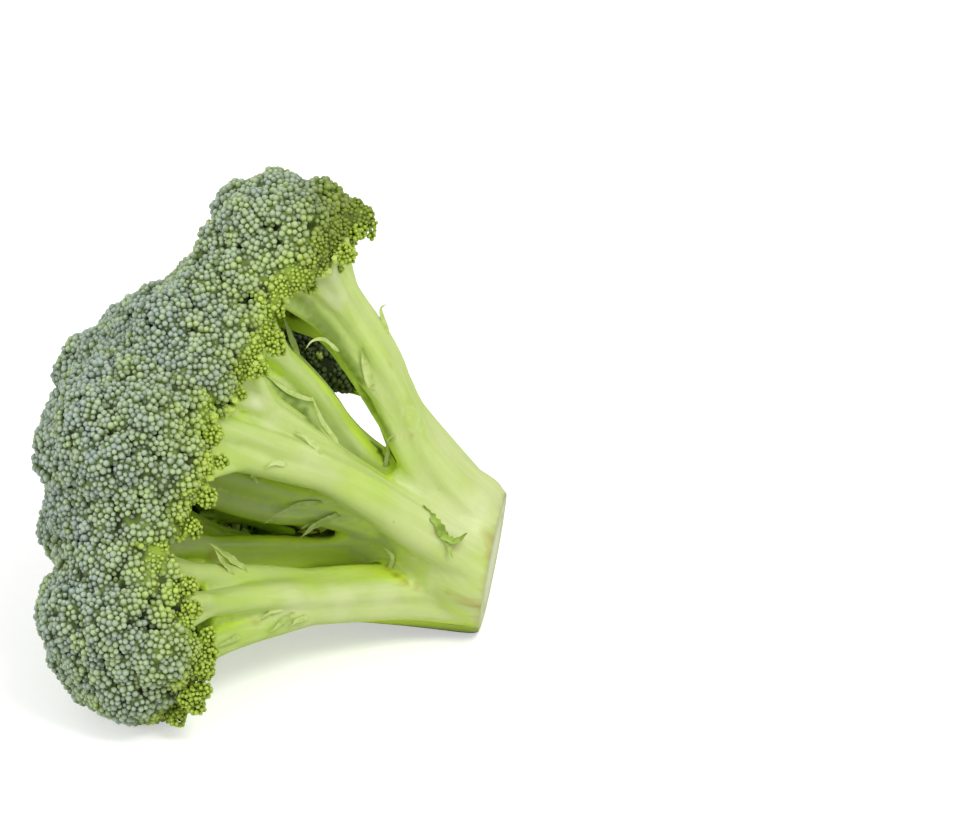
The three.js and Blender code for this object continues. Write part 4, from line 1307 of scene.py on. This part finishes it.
class BROCCOLI_OT_stalk(bpy.types.Operator):
    """Builds the cut base and the branches as one grown piece"""

    bl_idname = "broccoli.stalk"
    bl_label = "Stalk"

    def execute(self, context):
        sizes, colours = context.scene.broccoli_sizes, context.scene.broccoli_colours
        florets = all_florets()
        branches = [Branch(number, row, florets) for number, row in enumerate(BRANCHES)]
        stalk = self.skin(joined(self.solids(branches)), sizes.flesh_grain)
        stalk.data.materials.clear()
        stalk.data.materials.append(stalk_material(colours))
        stalk.data.materials.append(cut_material())
        self.cut(stalk)
        dry_edge = self.fibres(stalk, branches)
        self.weather(stalk, dry_edge, florets)
        hand_over(stalk, "stalk", "stalk")
        return {"FINISHED"}

    def solids(self, branches):
        """The base, the branches with their fluted side stems, and the webs, each a closed tube."""
        flute, web_samples = 0.05, 20
        shares = np.linspace(0, 1, LINE_STEPS + 1)
        solids = [tube(*base_line(), sides=40)]
        for branch in branches:
            solids.append(tube(branch.line, BRANCH_CORE * branch.radius(shares), sides=20))
            for index, (line, radii) in enumerate(branch.bundle()):
                solids.append(tube(line, radii, 16, flute, phase=index * 1.7 + branch.number))
        for *line, first, last in WEBS:
            radii = np.linspace(first, last, web_samples)
            solids.append(tube(smooth_line(line, web_samples), radii, sides=20))
        return solids

    def skin(self, solids, grain):
        """One smooth skin over all of them."""
        raw = object_of("raw_stalk", mesh_of("raw stalk", *solids))
        skin = raw.modifiers.new("skin", "REMESH")
        skin.mode = "VOXEL"
        skin.voxel_size = grain
        skin.use_smooth_shade = True
        even = raw.modifiers.new("even", "SMOOTH")
        even.factor = 0.5
        even.iterations = 7
        fewer = raw.modifiers.new("fewer faces", "DECIMATE")
        fewer.ratio = 0.5
        return plain_mesh(raw, "stalk_flesh")

    def cut(self, stalk):
        """Cuts the base off flat with a dried-in rim, and cuts off what would sink into the table."""
        shape = bmesh.new()
        shape.from_mesh(stalk.data)
        centre, outward = Vector((CUT_CENTRE + SHIFT) * MM), Vector(CUT_NORMAL)
        flesh_slot, cut_slot = 0, 1
        table = Vector((0, 0, 0)), Vector((0, 0, -1))
        for place, normal, slot in ((centre, outward, cut_slot), (*table, flesh_slot)):
            everything = list(shape.verts) + list(shape.edges) + list(shape.faces)
            done = bmesh.ops.bisect_plane(
                shape, geom=everything, dist=1e-6, plane_co=place, plane_no=normal, clear_outer=True
            )
            rim = [edge for edge in done["geom_cut"] if isinstance(edge, bmesh.types.BMEdge)]
            if not rim:
                continue
            filled = bmesh.ops.contextual_create(shape, geom=rim)["faces"]
            if slot == cut_slot:
                ring = bmesh.ops.inset_region(shape, faces=filled, thickness=0.6 * MM, depth=0.0)
                filled = ring["faces"] + [face for face in shape.faces if len(face.verts) > 20]
            for face in {face for face in filled if face.is_valid}:
                face.material_index = slot
                face.smooth = False
        dried = 6 * MM  # how far down from the cut the flesh has shrunk
        for vertex in shape.verts:
            away = vertex.co - centre
            depth = away.dot(outward)
            if depth > -dried:
                aside = away - outward * depth
                near = 1 + depth / dried
                outer = min(1.0, aside.length / (CUT_RADIUS * MM))
                pull = 0.05 + 0.035 * aside.normalized().z
                vertex.co -= aside * pull * near**3 + outward * (0.0007 * near * outer**4)
        big = [face for face in shape.faces if len(face.verts) > 4]
        bmesh.ops.poke(shape, faces=big)
        bmesh.ops.triangulate(shape, faces=[face for face in shape.faces if len(face.verts) > 4])
        bmesh.ops.recalc_face_normals(shape, faces=shape.faces)
        shape.to_mesh(stalk.data)
        shape.free()

    def fibres(self, stalk, branches):
        """Keeps where each point is along and across its branch, and gives the dry edge of the cut."""
        along_scale, across_scale = 0.05, 0.55
        apart = 13.7  # from one branch's fibres to the next one's, so that no two look alike
        core, least_gap, fading = 0.7, 0.6, -6.0  # how a branch's hold on the fibres fades away from it
        points = places(stalk.data)
        weight_sum = np.zeros(len(points))
        fibre = np.zeros((len(points), 3))
        share = np.zeros(len(points))
        for branch in branches:
            away = np.linalg.norm(points[:, None, :] - branch.line[None, ::2], axis=2)
            nearest = away.argmin(axis=1) * 2
            share_here = nearest / LINE_STEPS
            gap = np.maximum(away.min(axis=1) - branch.radius(share_here) * core, least_gap)
            weight = gap**fading
            offset = points - branch.line[nearest]
            tangent, side = branch.tangents[nearest], branch.sides[nearest]
            up = np.cross(tangent, side)
            along = share_here * branch.length * along_scale + (offset * tangent).sum(1) * along_scale
            across = [(offset * direction).sum(1) * across_scale for direction in (side, up)]
            fibre += np.stack([along + apart * branch.number, *across], axis=1) * weight[:, None]
            share += share_here * weight
            weight_sum += weight
        fibre /= weight_sum[:, None]
        attribute = stalk.data.attributes.new("fibre", "FLOAT_VECTOR", "POINT")
        attribute.data.foreach_set("vector", fibre.astype(np.float32).ravel())
        store(stalk.data, "along", share / weight_sum)
        from_axis = points - CUT_CENTRE
        along = from_axis @ CUT_NORMAL
        across = np.linalg.norm(from_axis - along[:, None] * CUT_NORMAL, axis=1)
        store(stalk.data, "cut_radius", across / CUT_RADIUS)
        return smooth_step(-1.2, -0.1, along) * 0.55

    def weather(self, stalk, dry_edge, florets):
        """Keeps where the flesh is bruised or tinted, partly as painted light, where painted shade darkens
        it, and how closed in each point is, for painted shade in its hollows.
        """
        points, normals = places(stalk.data), vertex_rows(stalk.data, "normal")
        flesh = (points, polygons_of(stalk.data))
        tree = ray_tree(*flesh)

        def spots(rows, full):
            """How strongly each spot shows at each point, fully so within a share of its radius."""
            for x, height, radius, strength in rows:
                hit = front_hit(tree, x, height)
                if hit is not None:
                    away = np.linalg.norm(points - hit[0], axis=1)
                    yield strength * (1 - smooth_step(full, 1.0, away / radius))

        none = np.zeros(len(points))
        # Painted shade on the underside, where it faces down near the table.
        downward = smooth_step(0.1, 0.6, -normals[:, 2])
        near_table = 1 - smooth_step(2.5, 8.0, points[:, 2])
        underside = 0.95 * downward * near_table
        store(stalk.data, "scar", np.max([dry_edge, *spots(BRUISES, 0.2)], axis=0))
        store(stalk.data, "tint_and_painted_light", np.clip(sum(spots(TINTS_AND_PAINTED_LIGHT, 0.0), none), -1, 1))
        store(stalk.data, "flank_shade", np.max([none, *spots(FLANK_SHADE, 0.35), underside], axis=0))
        # How closed in each point is, for painted shade in the hollows.
        domes = []
        for floret in florets:
            form = canopy(floret, all_but(floret, florets), subdivisions=4, sink=0.0, pitch=9.0)
            domes.append((form["points"], form["faces"]))
        table = (np.array(square(400), float), [(0, 1, 2, 3)])
        blockers = ray_tree(*joined([flesh, table] + domes))
        store(stalk.data, "shelter_shade", shelter_shade(points, normals, blockers))


class BROCCOLI_OT_side_stems(bpy.types.Operator):
    """Grows the thin stems that spread from the branches under each floret"""

    bl_idname = "broccoli.side_stems"
    bl_label = "Side stems"

    def execute(self, context):
        florets = all_florets()
        tree = stem_tree()
        material = bpy.data.materials["stalk flesh"]
        lines = []
        for number, row in enumerate(BRANCHES):
            lines += self.lines_of(Branch(number, row, florets), florets)
        vertices, edges, widths = [], [], []
        for line, radii in lines:
            start = len(vertices)
            vertices += ((line + SHIFT) * MM).tolist()
            edges += [(start + k, start + k + 1) for k in range(len(line) - 1)]
            widths += list(np.asarray(radii) * MM)
        mesh = bpy.data.meshes.new("side stems")
        mesh.from_pydata(vertices, edges, [])
        store(mesh, "width", widths)
        stems = grow(object_of("side_stems", mesh), tree, Sides=5, Material=material)
        count = len(stems.data.vertices)
        # The thin stems take a greener tint and a little painted shade, as if half closed in.
        looks = {"along": 0.9, "tint_and_painted_light": 0.2, "scar": 0.0, "flank_shade": 0.0, "shelter_shade": 0.4}
        for name, value in looks.items():
            store(stems.data, name, np.full(count, value))
        hand_over(stems, "stalk")
        return {"FINISHED"}

    def lines_of(self, branch, florets):
        """Thin stems from each side stem of a branch to the underside of its floret."""
        floret = branch.floret
        bundle = branch.bundle()
        chance = np.random.default_rng(THIN_SEED + branch.number)
        spots = spiral_directions(packed_count(floret.radius, THIN_PITCH))
        spots = spots[spots[:, 2] > 0][:, :2] * floret.radius * THIN_SPAN
        others = all_but(floret, florets)
        hub = floret.centre - floret.axis * (floret.underside - THIN_RISE)
        tips = np.array([line[-1] for line, _ in bundle])
        found = []
        for spot in spots + chance.normal(0, THIN_SCATTER, spots.shape):
            end = hub + floret.u * spot[0] + floret.v * spot[1]
            direction = unit(end - floret.core)[None]
            away = np.linalg.norm(tips - end, axis=1)
            sideways = away.min()
            if floret.room(direction, others)[0] < np.linalg.norm(end - floret.core) - THIN_BEYOND:
                continue
            if sideways > THIN_REACH:
                continue
            line, _ = bundle[away.argmin()]
            station = len(line) - 1 - int(np.clip(1 + sideways * 0.4, 1, 7))
            start = line[station]
            reach = np.linalg.norm(end - start)
            leave = unit(line[station + 1] - start) * reach * 0.9
            arrive = unit(floret.axis + 0.3 * unit(end - start)) * reach * 0.8
            path = hermite(start, leave, end, arrive, THIN_SAMPLES)
            thickness = 0.85 + 0.3 * chance.random()
            found.append((path, np.linspace(*THIN_RADII, THIN_SAMPLES) * thickness))
        return found


class BROCCOLI_OT_leaves(bpy.types.Operator):
    """Builds the small leaves left on the branches"""

    bl_idname = "broccoli.leaves"
    bl_label = "Small leaves"

    def execute(self, context):
        flesh = bpy.data.objects["stalk_flesh"].data
        tree = ray_tree(places(flesh), polygons_of(flesh))
        blades, green = [], []
        for number, (seen, lift, width, ragged, greenness) in enumerate(LEAVES):
            blade = leaf_blade(tree, seen, lift, width, ragged, number)
            blades.append(blade)
            green.append(np.full(len(blade[0]), greenness))
        vertices, faces = joined(blades)
        leaves = object_of("small_leaves", mesh_of("small leaves", vertices, faces))
        shape = bmesh.new()
        shape.from_mesh(leaves.data)
        bmesh.ops.recalc_face_normals(shape, faces=shape.faces)
        for face in shape.faces:
            face.smooth = True
        shape.to_mesh(leaves.data)
        shape.free()
        store(leaves.data, "green", np.concatenate(green))
        leaves.data.materials.append(leaf_material())
        hand_over(leaves, "stalk")
        return {"FINISHED"}


class BROCCOLI_OT_stage(bpy.types.Operator):
    """Sets up the floor, the light and the camera"""

    bl_idname = "broccoli.stage"
    bl_label = "Stage"

    def execute(self, context):
        scene = context.scene
        floor_mesh = bpy.data.meshes.new("floor")
        floor_mesh.from_pydata(square(6), [], [(0, 1, 2, 3)])
        floor = object_of("floor", floor_mesh)
        floor_mesh.materials.append(self.floor_material())
        world = bpy.data.worlds.new("studio")
        world.use_nodes = True
        sky = world.node_tree.nodes["Background"]
        sky.inputs["Color"].default_value = (1, 1, 1, 1)
        sky.inputs["Strength"].default_value = 0.68
        scene.world = world
        lights = [
            self.light("key", (0.8, -1.15, 1.9), 1.0, 21.0),
            self.light("fill", (-1.9, -1.1, 1.0), 1.6, 17.0),
        ]
        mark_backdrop(floor, *lights)
        self.camera(scene)
        scene.view_settings.view_transform = "Standard"
        return {"FINISHED"}

    def floor_material(self):
        """White paper that the camera sees brighter than the light on it."""
        material, nodes, shader = new_material("floor")
        seen = nodes.add("ShaderNodeLightPath").outputs["Is Camera Ray"]
        nodes.tree.links.new(nodes.times(seen, 0.48), shader.inputs["Emission Strength"])
        set_shader(nodes, shader, {
            "Base Color": (0.78, 0.78, 0.78, 1), "Emission Color": (1, 1, 1, 1), "Roughness": 0.7,
            "Specular IOR Level": 0.1,
        })
        return material

    def light(self, name, place, size, power):
        """A round lamp that faces the middle of the head."""
        data = bpy.data.lights.new(name, "AREA")
        data.shape = "DISK"
        data.size = size
        data.energy = power
        lamp = object_of(name, data)
        lamp.location = place
        lamp.rotation_euler = (Vector((0, 0, 0.06)) - Vector(place)).to_track_quat("-Z", "Y").to_euler()
        return lamp

    def camera(self, scene):
        """A far camera in front of the head, which stands left of the middle of the picture."""
        width, height = 972, 819  # of the picture, in pixels
        middle_x, middle_y = 271.2, 410.6  # where the middle of the head falls in it
        pixel = 0.29 * MM  # what one of them shows at the head
        distance, sensor = 4.0, 36
        middle = Vector((0, 0, 0.0719))
        data = bpy.data.cameras.new("camera")
        data.sensor_width = sensor
        data.lens = sensor * distance / (width * pixel)
        data.clip_end = 50
        data.shift_x = (width / 2 - middle_x) / width
        data.shift_y = (middle_y - height / 2) / width
        camera = object_of("camera", data)
        camera.location = middle + distance * Vector(TOWARD)
        camera.rotation_euler = (math.pi / 2 - FRONT_TILT, 0, 0)
        scene.camera = camera


class BROCCOLI_PT_panel(bpy.types.Panel):
    """Sizes, colours and building steps of the head"""

    bl_label = "Broccoli head"
    bl_idname = "BROCCOLI_PT_panel"
    bl_space_type = "VIEW_3D"
    bl_region_type = "UI"
    bl_category = "Broccoli"

    def draw(self, context):
        layout = self.layout
        for settings in (context.scene.broccoli_sizes, context.scene.broccoli_colours):
            for name in settings.bl_rna.properties.keys():
                if name not in ("rna_type", "name"):
                    layout.prop(settings, name)
        for operator in STEPS:
            layout.operator(operator.bl_idname)


STEPS = (
    BROCCOLI_OT_florets, BROCCOLI_OT_stalk, BROCCOLI_OT_side_stems, BROCCOLI_OT_leaves, BROCCOLI_OT_stage,
)
CLASSES = (BroccoliSizes, BroccoliColours, *STEPS, BROCCOLI_PT_panel)


def register():
    for cls in CLASSES:
        bpy.utils.register_class(cls)
    bpy.types.Scene.broccoli_sizes = bpy.props.PointerProperty(type=BroccoliSizes)
    bpy.types.Scene.broccoli_colours = bpy.props.PointerProperty(type=BroccoliColours)


def unregister():
    del bpy.types.Scene.broccoli_colours
    del bpy.types.Scene.broccoli_sizes
    for cls in reversed(CLASSES):
        bpy.utils.unregister_class(cls)


def main():
    register()
    bpy.ops.broccoli.florets()
    bpy.ops.broccoli.stalk()
    bpy.ops.broccoli.side_stems()
    bpy.ops.broccoli.leaves()
    bpy.ops.broccoli.stage()
    bounds = {"start": BOUNDS_AT_START, "end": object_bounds()}
    sizes = {name: [[float(x) for x in corner] for corner in box] for name, box in bounds.items()}


if __name__ == "__main__":
    main()
